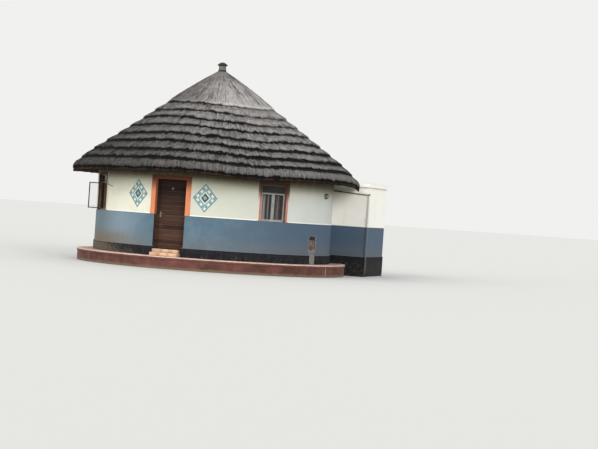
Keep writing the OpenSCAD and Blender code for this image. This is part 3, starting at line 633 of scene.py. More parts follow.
def thatch(name, dark, middle, pale, darkest_at, lightest_at, least, depth):
    """Weathered grass, lighter up the roof and darker towards one side and low down: along the roof's width its
    lightness falls from the lightest place to that least share at the darkest. Its streaks run along the straw
    attribute's third axis. The attribute shade is painted shade, deepest under the ledges; brown marks the cut
    ends and the underside, whose dark brown holds painted shade too; pale marks bleached straws and the painted
    highlight on the lips."""
    paint = Paint(name)
    straw = paint.attribute("straw", "Vector")
    broad = paint.noise((24, 24, 1.6), 3, 0.6, straw)
    blobs = paint.noise((27, 27, 9.0), 3, 0.6, straw)
    fine = paint.noise((85, 85, 4.0), 3, 0.6, straw)
    tone = broad * 0.36 + fine * 0.24 + blobs * 0.40
    paint.colour = tone.ramp((0.40, dark), (0.5, middle), (0.60, pale))
    paint.layer(paint.noise(0.9, 4, 0.6).rise(0.45, 0.7) * 0.20, "#9A938E")
    # Pale straws, and the painted highlight on the lips that the pale attribute carries.
    bleached = paint.noise((110, 110, 2.5), 2, 0.5, straw).rise(0.62, 0.70) * 0.40
    paint.layer(paint.math("MAXIMUM", bleached, paint.attribute("pale")), "#C9C3BE")
    # Darker low down and towards one side of the roof.
    up = paint.z.rise(2.5, 5.1) * 0.58 + 0.42
    side = paint.sideways(CAMERA_AZ).rise(darkest_at, lightest_at) * (1 - least) + least
    paint.colour = paint.mix(up * side, "#000000", paint.colour)
    # Painted shade round the foot of the finial.
    paint.layer(paint.z.rise(5.60, 5.92) * 0.45, "#3A3733")
    # The brown of the cut ends and the underside holds painted shade; it is paler and redder at the left as
    # painted light.
    left = paint.x.rise(-1.8, -3.6)
    cut = paint.mix(left, paint.mix(fine, "#1C1310", "#3A2A22"), paint.mix(fine, "#301C18", "#583A30"))
    paint.layer(paint.attribute("brown"), cut)
    # Painted shade: near black where the shade attribute, broken into clumps, is deep, in the bands under the
    # ledges.
    clumps = blobs + paint.noise((11, 11, 4), 3, 0.6, straw)
    deep = (clumps - 1.0) * 0.75 + paint.attribute("shade")
    paint.layer(deep.rise(0.24, 0.70), "#100F10")
    return paint.coat(0.9, (fine + broad, depth, 1.0), Specular_IOR_Level=0.1)


# Meshes

def mesh_object(name, shape, material, attributes=None, smooth=False):
    """A mesh of a shape, which is an array of points and arrays of faces, each with faces of one kind."""
    points, face_sets = shape
    points = np.asarray(points, np.float32)
    loops = np.concatenate([np.asarray(faces).ravel() for faces in face_sets])
    sizes = np.concatenate([np.full(len(faces), np.asarray(faces).shape[1]) for faces in face_sets])
    mesh = bpy.data.meshes.new(name)
    mesh.vertices.add(len(points))
    mesh.vertices.foreach_set("co", points.ravel())
    mesh.loops.add(len(loops))
    mesh.loops.foreach_set("vertex_index", loops.astype(np.int32))
    mesh.polygons.add(len(sizes))
    mesh.polygons.foreach_set("loop_start", np.concatenate([[0], np.cumsum(sizes)[:-1]]).astype(np.int32))
    for key, values in (attributes or {}).items():
        values = np.asarray(values, np.float32)
        kind, field = ("FLOAT_VECTOR", "vector") if values.ndim == 2 else ("FLOAT", "value")
        mesh.attributes.new(key, kind, "POINT").data.foreach_set(field, values.ravel())
    mesh.update(calc_edges=True)
    mesh.validate()
    if smooth:
        mesh.shade_smooth()
    mesh.materials.append(material)
    made = bpy.data.objects.new(name, mesh)
    bpy.context.scene.collection.objects.link(made)
    return made


def add_piece(name, shape, material, slot, *replaced, **looks):
    """A piece of the building, which may stand for CAD nodes. Its slot is not used."""
    piece = mesh_object(name, shape, material, **looks)
    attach(piece, "building")
    if replaced:
        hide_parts(*replaced)
    return piece


def chamfer_template():
    """Signs, insets and faces of a box with chamfered edges."""
    work = bmesh.new()
    bmesh.ops.create_cube(work, size=2)
    bmesh.ops.bevel(work, geom=work.edges[:], offset=0.2, segments=1, affect="EDGES")
    corners = np.array([v.co for v in work.verts])
    faces = [[v.index for v in face.verts] for face in work.faces]
    work.free()
    quads, triangles = (np.array([face for face in faces if len(face) == size]) for size in (4, 3))
    return np.sign(corners), np.abs(corners) < 0.99, quads, triangles


BOX_SIGNS, BOX_INSET, BOX_QUADS, BOX_TRIANGLES = chamfer_template()


def boxes(extents, cut):
    """Chamfered boxes, each given by its lowest and highest corner."""
    extents = np.asarray(extents, float)
    middle = extents.mean(axis=1)[:, None, :]
    half = (extents[:, 1] - extents[:, 0])[:, None, :] / 2
    points = middle + BOX_SIGNS[None] * (half - cut * BOX_INSET[None])
    shift = (np.arange(len(extents)) * len(BOX_SIGNS))[:, None, None]
    quads = (BOX_QUADS[None] + shift).reshape(-1, 4)
    triangles = (BOX_TRIANGLES[None] + shift).reshape(-1, 3)
    return points.reshape(-1, 3), [quads, triangles]


def ring_quads(steps, rows, closed=False):
    """Faces between rings of so many points, from each ring to the next, and from the last to the first
    where closed."""
    here = np.arange(steps)
    after = (here + 1) % steps
    quads = []
    for index in range(rows if closed else rows - 1):
        low, high = index * steps, (index + 1) % rows * steps
        quads.append(np.column_stack([low + here, low + after, high + after, high + here]))
    return np.concatenate(quads)


def lathe(profile, steps):
    """A profile of (radius, height) turned round the z axis, from axis to axis."""
    rings = np.array(profile[1:-1], float)
    turn = np.arange(steps) * TURN / steps
    points = np.stack([rings[:, :1] * np.cos(turn), rings[:, :1] * np.sin(turn),
                       np.repeat(rings[:, 1:], steps, axis=1)], axis=-1).reshape(-1, 3)
    poles = np.array([[0, 0, profile[0][1]], [0, 0, profile[-1][1]]])
    here = np.arange(steps)
    after = (here + 1) % steps
    last = (len(rings) - 1) * steps
    low = np.column_stack([np.full(steps, len(points)), after, here])
    high = np.column_stack([np.full(steps, len(points) + 1), last + here, last + after])
    return np.concatenate([points, poles]), [ring_quads(steps, len(rings)), low, high]


def bend(shape):
    """Wraps a shape round the hut: x runs along the arc at the wall, y is the radius and z the height."""
    (along, radius, height), faces = shape[0].T, shape[1]
    return np.column_stack([radius * np.sin(along / WALL_R), -radius * np.cos(along / WALL_R), height]), faces


def turned(shape, azimuth):
    """Turns a shape from the door's side, -Y, to an azimuth in degrees."""
    return shape[0] @ np.array(Matrix.Rotation(math.radians(azimuth), 3, "Z")).T, shape[1]


# Thatch

def under_z(radius):
    """Height of the underside of the thatch at a radius."""
    return EAVE_Z + (EAVE_R - radius) * math.tan(PITCH)


def slope_point(along, above):
    """Radius and height of a place by its distance up the slope and its height square to it."""
    return np.array([EAVE_R - along * math.cos(PITCH) + above * math.sin(PITCH),
                     EAVE_Z + along * math.sin(PITCH) + above * math.cos(PITCH)])


def slope_at(radius):
    """Distance up the slope of the top of a butt at a radius."""
    return (EAVE_R + THATCH_T * math.sin(PITCH) - radius) / math.cos(PITCH)


def smooth_step(value, low, high):
    share = np.clip((value - low) / (high - low), 0, 1)
    return share * share * (3 - 2 * share)


def wander(source, turn, knots):
    """Smooth random values from -1 to 1 at places round the hut, with that many knots."""
    values = source.uniform(-1, 1, knots)
    place = np.mod(turn, TURN) * knots / TURN
    low = np.floor(place).astype(int)
    share = smooth_step(place - low, 0, 1)
    return values[low % knots] * (1 - share) + values[(low + 1) % knots] * share


def bump(turn, azimuth, spread):
    """1 at an azimuth and less and less beside it, with angles in degrees apart from the turn."""
    off = (np.degrees(turn) - azimuth + 180) % 360 - 180
    return np.exp(-(off / spread) ** 2)


def ledge_wave(course, turn):
    """How far the ledge of a course wanders down the slope at places round the hut."""
    if course == 1:
        return 0 * turn
    source = random_source(f"ledge_{course}")
    wave = 0.024 * wander(source, turn, 11) + 0.012 * wander(source, turn, 31)
    for dipping, azimuth, spread, drop in LEDGE_DIPS:
        if dipping == course:
            wave = wave + drop * bump(turn, azimuth, spread)
    return wave


def ledge_depth(course, turn):
    """How dark the painted shade under a ledge is: fainter up the roof and stronger low down, to the right."""
    high_up = np.clip((course - 3) / (COURSES - 2), 0, 1)
    low_down = np.clip((4.5 - course) / 2, 0, 1)
    right = np.sin(turn - CAMERA_AZ)
    fainter = high_up * (0.36 + 0.22 * smooth_step(right, -0.3, 0.7))
    return 1 - fainter + 0.5 * low_down * smooth_step(right, 0.0, 0.6)


def settled(shape):
    """Lets the thatch sag, leans the top of the roof and cuts the thatch flat over the annex."""
    points, faces = shape
    radius = np.hypot(points[:, 0], points[:, 1])
    turn = np.arctan2(points[:, 0], -points[:, 1])
    eave = smooth_step(radius, 3.85, 4.30)
    sag = 0.016 * wander(random_source("droop"), turn, 17)
    for azimuth, spread, drop in SAGS:
        sag = sag + drop * bump(turn, azimuth, spread)
    uneven = 0
    near = smooth_step(points[:, :2] @ [WIDTH_WAY[1], -WIDTH_WAY[0]], 0.2, 1.0)
    for place, spread, drop, near_only in SETTLED:
        share = near if near_only else 1
        uneven = uneven + share * drop * np.exp(-((points[:, :2] @ WIDTH_WAY - place) / spread) ** 2)
    outside = smooth_step(points[:, 2] - under_z(radius), 0.05, 0.14)
    upper = smooth_step(points[:, 2], *LEAN_Z)
    points[:, 2] -= sag * eave + uneven * np.maximum(outside, eave) * (1 - upper)
    points[:, :2] += upper[:, None] * LEAN
    over = (points[:, 0] > SLAB_LOW.x - TRIM_GAP) & (points[:, 1] > SLAB_LOW.y - TRIM_GAP)
    points[over, 2] = np.maximum(points[over, 2], SLAB_HIGH.z + TRIM_GAP)
    return points, faces


def ring_points(flat, turn):
    """Places (radius, height) of rows and columns as points round the hut."""
    radius = np.minimum(flat[..., 0], EAVE_OUT - 0.002)
    return np.stack([radius * np.sin(turn), -radius * np.cos(turn), flat[..., 1]], axis=-1)


def straw_map(points, girth, along):
    """Where the straw texture lies: round a cylinder of one girth, and along the slope."""
    turn = np.arctan2(points[:, 0], -points[:, 1])
    return np.column_stack([girth * np.sin(turn), -girth * np.cos(turn), along])


def row(place, shade=0.0, brown=0.0, pale=0.0, loose=0.0, own=0.0, following=0.0):
    """A row of a course: its radius and height, the attributes of its colour, how loosely it lies, and
    its share of the wave of its own ledge and of that of the next one."""
    return (*place, shade, brown, pale, loose, own, following)


def thatch_ring(rows, girth, source, course, loose_top=0.012):
    """A course of thatch as a closed ring of rows round the hut, which follow its section."""
    steps = int(TURN * girth / COLUMN_W)
    bundles = int(TURN * girth / BUNDLE_W)
    turn = np.arange(steps) * TURN / steps
    table = np.array(rows, float)
    radius, height, shade, brown, pale, loose, own, following = table.T[:, :, None]
    slide = 0.022 * wander(source, turn, bundles) + 0.018 * wander(source, turn, bundles * 3)
    slide = slide + source.uniform(-0.009, 0.009, steps)
    lift = 0.010 * wander(source, turn, bundles) + source.uniform(-1, 1, steps) * loose_top * 0.5
    down = loose * slide + own * ledge_wave(course, turn) + following * ledge_wave(course + 1, turn)
    flat = np.stack([radius, height], -1) + down[..., None] * DOWN + (loose * lift)[..., None] * OUT
    flat = flat + loose[..., None] * source.uniform(-0.002, 0.002, flat.shape)
    points = ring_points(flat, turn).reshape(-1, 3)
    patchy = 0.22 * wander(source, turn, bundles) + 0.26 * wander(source, turn, bundles * 3)
    patchy = patchy + source.uniform(-0.16, 0.16, steps)
    changing = (shade > 0.02) & (shade < 0.99)
    depth = 1 + own * (ledge_depth(course, turn) - 1) + following * (ledge_depth(course + 1, turn) - 1)
    along = np.concatenate([[0], np.cumsum(np.linalg.norm(np.diff(table[:, :2], axis=0), axis=1))])
    return {"points": points, "quads": ring_quads(steps, len(rows), closed=True)[:, ::-1],
            "triangles": np.zeros((0, 3), int), "shade": ((shade + changing * patchy) * depth).ravel(),
            "brown": np.repeat(brown, steps), "pale": (pale * (1 - 1.2 * patchy)).ravel(),
            "straw": straw_map(points, girth, np.repeat(along, steps))}


def add_straws(ring, source, girth, course, roots, tips, clustered):
    """Adds thin pointed wedges from root places to tip places given as (radius, height), each with
    a tone of its own. That share of them lies in tufts."""
    count = len(roots)
    tufts = source.uniform(0, TURN, int(TURN * girth / TUFT_W))
    tufted = source.choice(tufts, count) + source.normal(0, 0.017, count) / girth
    turn = np.where(source.uniform(0, 1, count) < clustered, tufted, source.uniform(0, TURN, count))
    wave = ledge_wave(course, turn)[:, None] * DOWN
    roots, tips = roots + wave, tips + wave
    side = (0.003 + 0.009 * source.uniform(0, 1, count) ** 3) / np.maximum(roots[:, 0], 0.1)
    veer = source.normal(0, 0.012, count) / np.maximum(tips[:, 0], 0.1)
    thick = source.uniform(0.005, 0.010, count)
    corners = [ring_points(roots, turn - side), ring_points(roots, turn + side),
               ring_points(roots - OUT * thick[:, None], turn), ring_points(tips, turn + veer)]
    points = np.stack(corners, axis=1).reshape(-1, 3)
    first = (np.arange(count) * 4)[:, None] + len(ring["points"])
    faces = np.concatenate([first + [0, 1, 3], first + [1, 2, 3], first + [2, 0, 3], first + [0, 2, 1]])
    along = np.repeat(source.uniform(0, 30, count), 4) + np.tile([0, 0, 0, 0.15], count)
    added = {"points": points, "triangles": faces, "straw": straw_map(points, girth, along),
             "shade": np.repeat(source.choice([0.0, 0.0, 0.2, 0.45, 0.8], count), 4),
             "brown": np.zeros(count * 4),
             "pale": np.repeat(source.choice([0.0, 0.0, 0.0, 0.35, 0.8], count), 4)}
    for key, values in added.items():
        ring[key] = np.concatenate([ring[key], values])


def add_thatch(name, ring, material, node):
    attributes = {key: ring[key] for key in ("shade", "brown", "pale", "straw")}
    shape = settled((ring["points"], [ring["quads"], ring["triangles"]]))
    add_piece(name, shape, material, "thatch", node, attributes=attributes)


def shaded_rows(high, fall, reach, depth=1.0):
    """Rows of the painted shade at the top of a course, under the ragged edge of the next one."""
    rows = []
    for back, shade in ((0.165, 0.05), (0.132, 0.20), (0.105, 0.48), (0.080, 0.80), (0.045, 0.97),
                        (-0.03, 1.0)):
        place = slope_point(high - back * reach, THATCH_T - BUTT_T + fall * back * reach)
        rows.append(row(place, shade=min(1.0, shade * depth), loose=0.5, following=1))
    return rows


def top_rows(low, high, reach):
    """Rows of the top of a course, from its lip, which has a painted highlight, up to the painted shade under the
    next course.
    """
    rows = []
    for share, pale in ((0.24, 0.34), (0.33, 0.24), (0.42, 0.12), (0.50, 0.0)):
        above = THATCH_T - BUTT_T * share + 0.010 * math.sin(math.pi * share)
        rows.append(row(slope_point(low + share * (high - low), above), pale=pale, loose=0.7,
                        own=1 - share, following=share))
    return rows + shaded_rows(high, BUTT_T / (high - low), reach)


def lap_rows(low):
    """Rows of a butt that lies on the course below: its face is in painted shade, and the top of its edge has a
    painted highlight.
    """
    below = THATCH_T - BUTT_T
    rows = [row(slope_point(low + LAP, 0), shade=0.4, brown=0.6),
            row(slope_point(low + LAP, below - 0.01), shade=1),
            row(slope_point(low + 0.040, below), shade=1, loose=0.2, own=1)]
    for forward, up, shade, pale in (
            (0.008, 0.03, 1, 0), (-0.010, 0.15, 1, 0), (-0.012, 0.33, 1, 0), (-0.002, 0.55, 0.85, 0),
            (0.016, 0.73, 0.60, 0), (0.042, 0.86, 0.30, 0.20), (0.070, 0.93, 0.06, 0.34)):
        place = slope_point(low + forward, below + up * BUTT_T)
        rows.append(row(place, shade=shade, pale=pale, loose=1, own=1))
    return rows


def back_rows(high):
    """Rows that close a course under the next one."""
    return [row(slope_point(high + LAP, THATCH_T - BUTT_T - 0.015), shade=1),
            row(slope_point(high + LAP, 0), shade=0.4, brown=0.6)]


def eave_rows(high):
    """Rows of the lowest course: cut ends in painted shade that turn brown below, under a shaggy lip with a
    painted highlight.
    """
    rows = [row(slope_point(0.9 * high, 0), shade=0.2, brown=0.7),
            row((EAVE_R - 0.28, under_z(EAVE_R - 0.28) - 0.045), shade=0.25, brown=1, loose=0.3)]
    for inward, up, shade, brown, loose in (
            (0.030, 0.010, 0.20, 1.0, 0.3), (0.012, 0.002, 0.20, 1.0, 0.5), (0.004, 0.030, 0.25, 1.0, 0.5),
            (0.006, 0.062, 0.42, 1.0, 0.5), (0.014, 0.088, 0.80, 0.8, 0.5), (0.004, 0.106, 1.0, 0.2, 1.0)):
        rows.append(row((EAVE_R - inward, EAVE_Z + up), shade=shade, brown=brown, loose=loose))
    for inward, up, shade, pale, loose in (
            (0.010, 0.120, 0.80, 0.0, 1.0), (0.005, 0.146, 0.30, 0.0, 1.0), (0.020, 0.196, 0.0, 0.12, 0.9),
            (0.050, 0.252, 0.0, 0.20, 0.8), (0.100, 0.308, 0.0, 0.20, 0.8)):
        rows.append(row((EAVE_OUT - inward, EAVE_Z + up), shade=shade, pale=pale, loose=loose))
    return rows + shaded_rows(high, 0.10, 1.12, 1.4)


def lip_straws(source, count, low):
    """Roots and tips of straws that stick out over a butt."""
    long = source.uniform(0.010, 0.060, count) * source.uniform(0.6, 1.2, count)
    droop = source.uniform(0.10, 0.85, count)
    rise = source.uniform(-0.016, 0.002, count)
    roots = slope_point(low + 0.060, THATCH_T - 0.008) + rise[:, None] * OUT
    tips = slope_point(low + 0.014, THATCH_T - 0.014) + long[:, None] * DOWN
    return roots, tips + (rise - droop * long)[:, None] * OUT


def eave_straws(source, count):
    """Roots and tips of straws that hang over the lip of the eave."""
    level = source.uniform(0.11, 0.30, count)
    long = source.uniform(0.02, 0.075, count)
    roots = np.column_stack([EAVE_OUT - 0.020 - level * 0.20, EAVE_Z + level + 0.03])
    return roots, roots + np.column_stack([np.full(count, 0.012), -long])


def lying_straws(source, count, low, high):
    """Roots and tips of straws that lie on the top of a course."""
    share = source.uniform(0.25, 1.0, count)
    long = source.uniform(0.08, 0.24, count)
    end = np.maximum(low + share * (high - 0.10 - low) - long, low - 0.02)
    fall = BUTT_T / (high - low)
    roots = slope_point(end + long, THATCH_T - fall * (end + long - low) + 0.002).T
    tips = slope_point(end, THATCH_T - fall * (end - low)).T
    return roots, tips + source.uniform(0.008, 0.022, count)[:, None] * OUT


def make_courses(material):
    lows = [slope_at(EAVE_OUT - 0.17)] + [slope_at(radius) for radius in LEDGE_RADII]
    for course in range(1, COURSES + 1):
        source = random_source(f"thatch_{course}")
        low, high, girth = lows[course - 1], lows[course], ([EAVE_OUT] + LEDGE_RADII)[course - 1]
        reach = 1.22 if course < 5 else 1.10
        rows = eave_rows(high) if course == 1 else lap_rows(low) + top_rows(low, high, reach)
        ring = thatch_ring(rows + back_rows(high), girth, source, course)
        count = int(LIP_PER_M * TURN * girth)
        edge = eave_straws(source, count) if course == 1 else lip_straws(source, count, low)
        add_straws(ring, source, girth, course, *edge, 0.55)
        if course > 1:
            count = int(LYING_PER_M * TURN * girth)
            add_straws(ring, source, girth, course, *lying_straws(source, count, low, high), 0.3)
        add_thatch(f"thatch_{course}", ring, material, f"thatch_course_{course}")


def make_cap(material):
    """The smooth cap of long grass that closes the roof."""
    source = random_source("cap")
    course = COURSES + 1
    girth = LEDGE_RADII[-1]
    low = slope_at(girth)
    foot_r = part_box("finial_neck")[1].x + 0.005
    swell, tip = 0.028, 0.02

    def top(radius):
        share = (radius - foot_r) / (girth - foot_r)
        return under_z(radius) + THATCH_T / math.cos(PITCH) + swell * np.sin(math.pi * share)

    rows = lap_rows(low)
    for share in np.linspace(0.945, 0.0, 13):
        radius = foot_r + share * (girth - foot_r)
        rows.append(row((radius, top(radius)), loose=0.15 + 0.55 * share, own=share))
    rows.append(row((tip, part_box("thatch_cap")[1].z - 0.002), shade=0.3))
    rows.append(row((tip, under_z(tip) + 0.01), shade=0.4, brown=0.6))
    ring = thatch_ring(rows, girth, source, course, 0.008)
    count = int(LIP_PER_M * TURN * girth)
    add_straws(ring, source, girth, course, *lip_straws(source, count, low), 0.55)
    tip_r = foot_r + source.uniform(0.12, 0.97, CAP_STRAWS) ** 0.7 * (girth - foot_r)
    root_r = np.maximum(tip_r - source.uniform(0.12, 0.34, CAP_STRAWS) * math.cos(PITCH), foot_r)
    roots = np.column_stack([root_r, top(root_r) + 0.002])
    tips = np.column_stack([tip_r, top(tip_r) + source.uniform(0.005, 0.018, CAP_STRAWS)])
    add_straws(ring, source, girth, course, roots, tips, 0.3)
    add_thatch("thatch_cap_straw", ring, material, "thatch_cap")


def make_finial(neck_material, dark_material):
    """A pale neck with a dark band at its foot, under a dark domed lid."""
    foot, top = (corner.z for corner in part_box("finial_neck"))
    lid_low, lid_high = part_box("finial_lid")
    wide, edge = 0.114, 0.018
    dome = lid_high.z - lid_low.z - edge
    lid_r = 0.87 * lid_high.x
    neck = [(0, foot), (wide + 0.020, foot), (wide, foot + 0.020), (wide - 0.002, foot + 0.10),
            (wide - 0.004, top), (0, top)]
    band = [(0, foot + 0.001), (wide + 0.022, foot + 0.001), (wide + 0.010, foot + 0.022),
            (wide + 0.007, foot + 0.050), (wide - 0.004, foot + 0.056), (0, foot + 0.056)]
    lid = [(0, lid_low.z), (lid_r - 0.004, lid_low.z)]
    lid += [(share * lid_r, lid_low.z + edge + dome * (1 - share ** 2)) for share in np.linspace(1, 0.1, 10)]
    lid += [(0, lid_high.z)]
    for name, profile, material, slot, node in (
            ("finial_pale_neck", neck, neck_material, "thatch", "finial_neck"),
            ("finial_band", band, dark_material, "lid_dark", "finial_neck"),
            ("finial_dark_lid", lid, dark_material, "lid_dark", "finial_lid")):
        add_piece(name, settled(lathe(profile, 40)), material, slot, node, smooth=True)


# Walls and the things on them

def plinth_tiles(material):
    """Black tiles on the plinth above the apron, left out at the door, the annex and the mortar strip."""
    count, joint, sunk, proud = 162, 0.002, 0.004, 0.006
    half = math.pi * WALL_R / count - joint / 2
    skipped = [(-7.6, 7.6), (71.2, 77.5), (119.5, 165.5)]
    extents = []
    for i in range(count):
        azimuth = (i + 0.5) * 360 / count - 180
        if not any(a < azimuth < b for a, b in skipped):
            x = math.radians(azimuth) * WALL_R
            extents.append([(x - half, PLINTH_R - sunk, APRON_Z + joint),
                            (x + half, PLINTH_R + proud, PLINTH_Z - joint)])
    add_piece("plinth_tiles", bend(boxes(extents, 0.0008)), material, "plinth_black")


def patch_pieces(brick_material, dark_material, rim_material, mortar_material):
    """Bare bricks in the hole in the plaster, a dark sheet for the painted shade of the hollow above them, its
    broken edge, and the mortar run down over the plinth.
    """
    source = random_source("patch")
    middle = math.radians(PATCH_AZ) * WALL_R
    left_end, right_end = PATCH_X[0] + 0.001, PATCH_X[1] - 0.001
    brick_w, brick_h, bed, least_w = 0.215, 0.070, 0.012, 0.03
    gap_z = PATCH_Z[0] + 0.325
    bricks = []
    for index in range(4):
        low = PATCH_Z[0] + 0.002 + index * (brick_h + bed)
        edge = left_end - 0.115 * (index % 2)
        while edge < right_end:
            left, right = max(edge, left_end), min(edge + brick_w, right_end)
            if right - left > least_w:
                top = low + brick_h + source.uniform(-0.006, 0.002)
                front = PATCH_Y - 0.006 - source.uniform(0, 0.0035)
                bricks.append([(left, front, low), (right, PATCH_Y + 0.012, top)])
            edge += brick_w + bed
    # A dark sheet in the hole above the bricks: painted shade of the hollow there.
    gap = [[(left_end, PATCH_Y - 0.0006, gap_z), (right_end, PATCH_Y + 0.0004, PATCH_Z[1] - 0.001)]]
    for name, shape, material in (
            ("patch_bricks", turned(boxes(bricks, 0.003), PATCH_AZ), brick_material),
            ("patch_gap", turned(boxes(gap, 0.0002), PATCH_AZ), dark_material),
            ("patch_edge", bend(patch_rim(source, middle)), rim_material),
            ("patch_mortar", bend(mortar_run(source, middle)), mortar_material)):
        add_piece(name, shape, material, "wall_blue")


def outline_walk(count, half_w, half_h, roundness):
    """Points round a rounded oblong."""
    turn = np.arange(count) * TURN / count
    return np.column_stack([half * np.sign(part) * np.abs(part) ** roundness
                            for half, part in ((half_w, np.cos(turn)), (half_h, np.sin(turn)))])


def patch_rim(source, middle):
    """The broken edge of the plaster, as a ragged ring that stands a little proud."""
    count = 90
    centre_z = (PATCH_Z[0] + PATCH_Z[1]) / 2
    half_w = (PATCH_X[1] - PATCH_X[0]) / 2
    half_h = (PATCH_Z[1] - PATCH_Z[0]) / 2
    ragged = wander(source, np.arange(count) * TURN / count, 23) * 0.016
    ragged = ragged + source.uniform(-0.006, 0.006, count)
    inner = outline_walk(count, half_w - 0.016, half_h - 0.014, 0.30)
    outer = outline_walk(count, half_w + 0.028, half_h + 0.024, 0.45)
    way = inner / np.linalg.norm(inner, axis=1)[:, None]
    inner = inner + way * ragged[:, None]
    outer = outer + way * (np.roll(ragged, 7)[:, None] * 1.3)
    crest = inner * 0.55 + outer * 0.45 + way * source.uniform(-0.006, 0.006, count)[:, None]
    layers = [(inner, -0.020), (inner + way * 0.003, -0.001), (crest, 0.005), (outer, 0.0012),
              (outer, -0.002)]
    points = np.concatenate([
        np.column_stack([middle + flat[:, 0], np.full(count, WALL_R + proud), centre_z + flat[:, 1]])
        for flat, proud in layers])
    return points, [ring_quads(count, len(layers), closed=True)]


def mortar_run(source, middle):
    """A rough strip of grey mortar from the foot of the hole down over the plinth."""
    levels = np.concatenate([np.linspace(PATCH_Z[0] - 0.015, PLINTH_Z + 0.004, 7),
                             np.linspace(PLINTH_Z, APRON_Z + 0.002, 14)])
    half = np.interp(levels, [APRON_Z, 0.45, PLINTH_Z, PATCH_Z[0]], [0.110, 0.135, 0.140, 0.180])
    shift = np.interp(levels, [APRON_Z, PLINTH_Z], [0.010, 0.0])
    base = np.where(levels > PLINTH_Z + 0.002, WALL_R, PLINTH_R)
    columns = 9
    across = np.linspace(-1, 1, columns)
    rings = []
    for level, reach, side, depth in zip(levels, half, shift, base):
        x = middle + side + across * reach * (1 + source.uniform(-0.10, 0.10))
        swell = 0.009 * (1 - across ** 2) ** 0.5 + source.uniform(0, 0.002, columns)
        rings += [np.column_stack([x, depth + 0.001 + swell, np.full(columns, level)]),
                  np.column_stack([x, np.full(columns, depth - 0.004), np.full(columns, level)])[::-1]]
    count = columns * 2
    last = (len(levels) - 1) * count
    ends = []
    for i in range(columns - 1):
        end = np.array([i, i + 1, count - 2 - i, count - 1 - i])
        ends += [end[::-1], last + end]
    return np.concatenate(rings), [ring_quads(count, len(levels)), np.array(ends)]


def step_pieces(tile_material, grout_material):
    """The two treads: a core with tiles laid on its tops, fronts and sides."""
    joint, skin, tile_w = 0.005, 0.010, 0.270
    back, middle_z = -3.590, 0.450
    inside = skin - 0.003
    treads = ((0.410, -3.890, APRON_Z + 0.0005, middle_z), (0.390, -3.755, middle_z, STEP_Z))
    cores, tiles = [], []
    for half, front, low, high in treads:
        cores.append([(-half + inside, front + inside, low), (half - inside, back, high - inside)])
        count = round(2 * half / tile_w)
        wide = 2 * half / count
        for i in range(count):
            left = -half if i == 0 else -half + i * wide + joint / 2
            right = half if i == count - 1 else -half + (i + 1) * wide - joint / 2
            tiles.append([(left, front + skin, high - skin), (right, back, high)])
            tiles.append([(left, front, low + 0.003), (right, front + skin - 0.001, high)])
        for side in (-1, 1):
            left, right = sorted((side * half, side * (half - skin + 0.001)))
            tiles.append([(left, front + skin, low + 0.003), (right, back, high - skin - 0.001)])
    add_piece("step_core", boxes(cores, 0.001), grout_material, "step_tile", "door_step")
    add_piece("step_tiles", boxes(tiles, 0.002), tile_material, "step_tile", "door_step")


def lamp_pieces(rim_material, glass_material):
    """The round lamp: a dome of old glass on a dark back, with a dark ring round the dome."""
    rim_r, glass_r, soft, gap = 0.085, 0.079, 0.003, 0.0006
    back_z, out_z, ring_z = 0.022, 0.114, 0.070
    rise = out_z - back_z
    back = [(0, 0), (rim_r - soft, 0), (rim_r, soft), (rim_r, back_z - soft), (rim_r - soft, back_z),
            (0, back_z)]
    dome = [(0, back_z - 0.001), (glass_r, back_z - 0.001)]
    dome += [(glass_r * math.cos(a), back_z + rise * math.sin(a)) for a in np.linspace(0, 1.45, 12)]
    dome += [(0, out_z)]
    ring_r = glass_r * (1 - ((ring_z - back_z) / rise) ** 2) ** 0.5
    ring = [(0, ring_z - 0.006), (ring_r + 0.004, ring_z - 0.006), (ring_r + 0.006, ring_z),
            (ring_r + 0.003, ring_z + 0.006), (0, ring_z + 0.006)]
    for name, profile, material in (("lamp_back", back, rim_material), ("lamp_glass", dome, glass_material),
                                    ("lamp_ring", ring, rim_material)):
        points, faces = lathe(profile, 48)
        x, up, out = points.T
        shape = turned((np.column_stack([x, -WALL_R - gap - out, LAMP_Z + up]), faces), LAMP_AZ)
        add_piece(name, shape, material, "lamp_body", "wall_lamp", smooth=name == "lamp_glass")


def casement_bars(material):
    """Narrow steel beads on the meeting stiles of the closed casements, on either side of a dark slit."""
    inner, outer, foot, head = 0.0305, 0.0480, 1.575, 2.318
    front = -WALL_R + 0.078
    bars = [[(left, front + 0.0015, foot), (right, front + 0.0090, head)]
            for left, right in ((-outer, -inner), (inner, outer))]
    for name, azimuth in (("right", WINDOW_AZS[1]), ("back", WINDOW_AZS[2])):
        add_piece(f"casement_beads_{name}", turned(boxes(bars, 0.001), azimuth), material, "window_paint")


def window_stay(material):
    """The thin bar that runs along the wall from the left window's transom, on its door side."""
    radius, proud = 0.009, 0.013
    ends = np.array([[math.radians(azimuth) * WALL_R, WALL_R + proud, z]
                     for azimuth, z in ((-41.4, 2.310), (-36.0, 2.250))])
    start, end = bend((ends, None))[0]
    bar = Vector(end - start)
    points, faces = lathe([(0, 0), (radius, 0), (radius, bar.length), (0, bar.length)], 10)
    matrix = np.array(bar.to_track_quat("Z", "Y").to_matrix())
    add_piece("window_stay", (points @ matrix.T + start, faces), material, "window_paint")


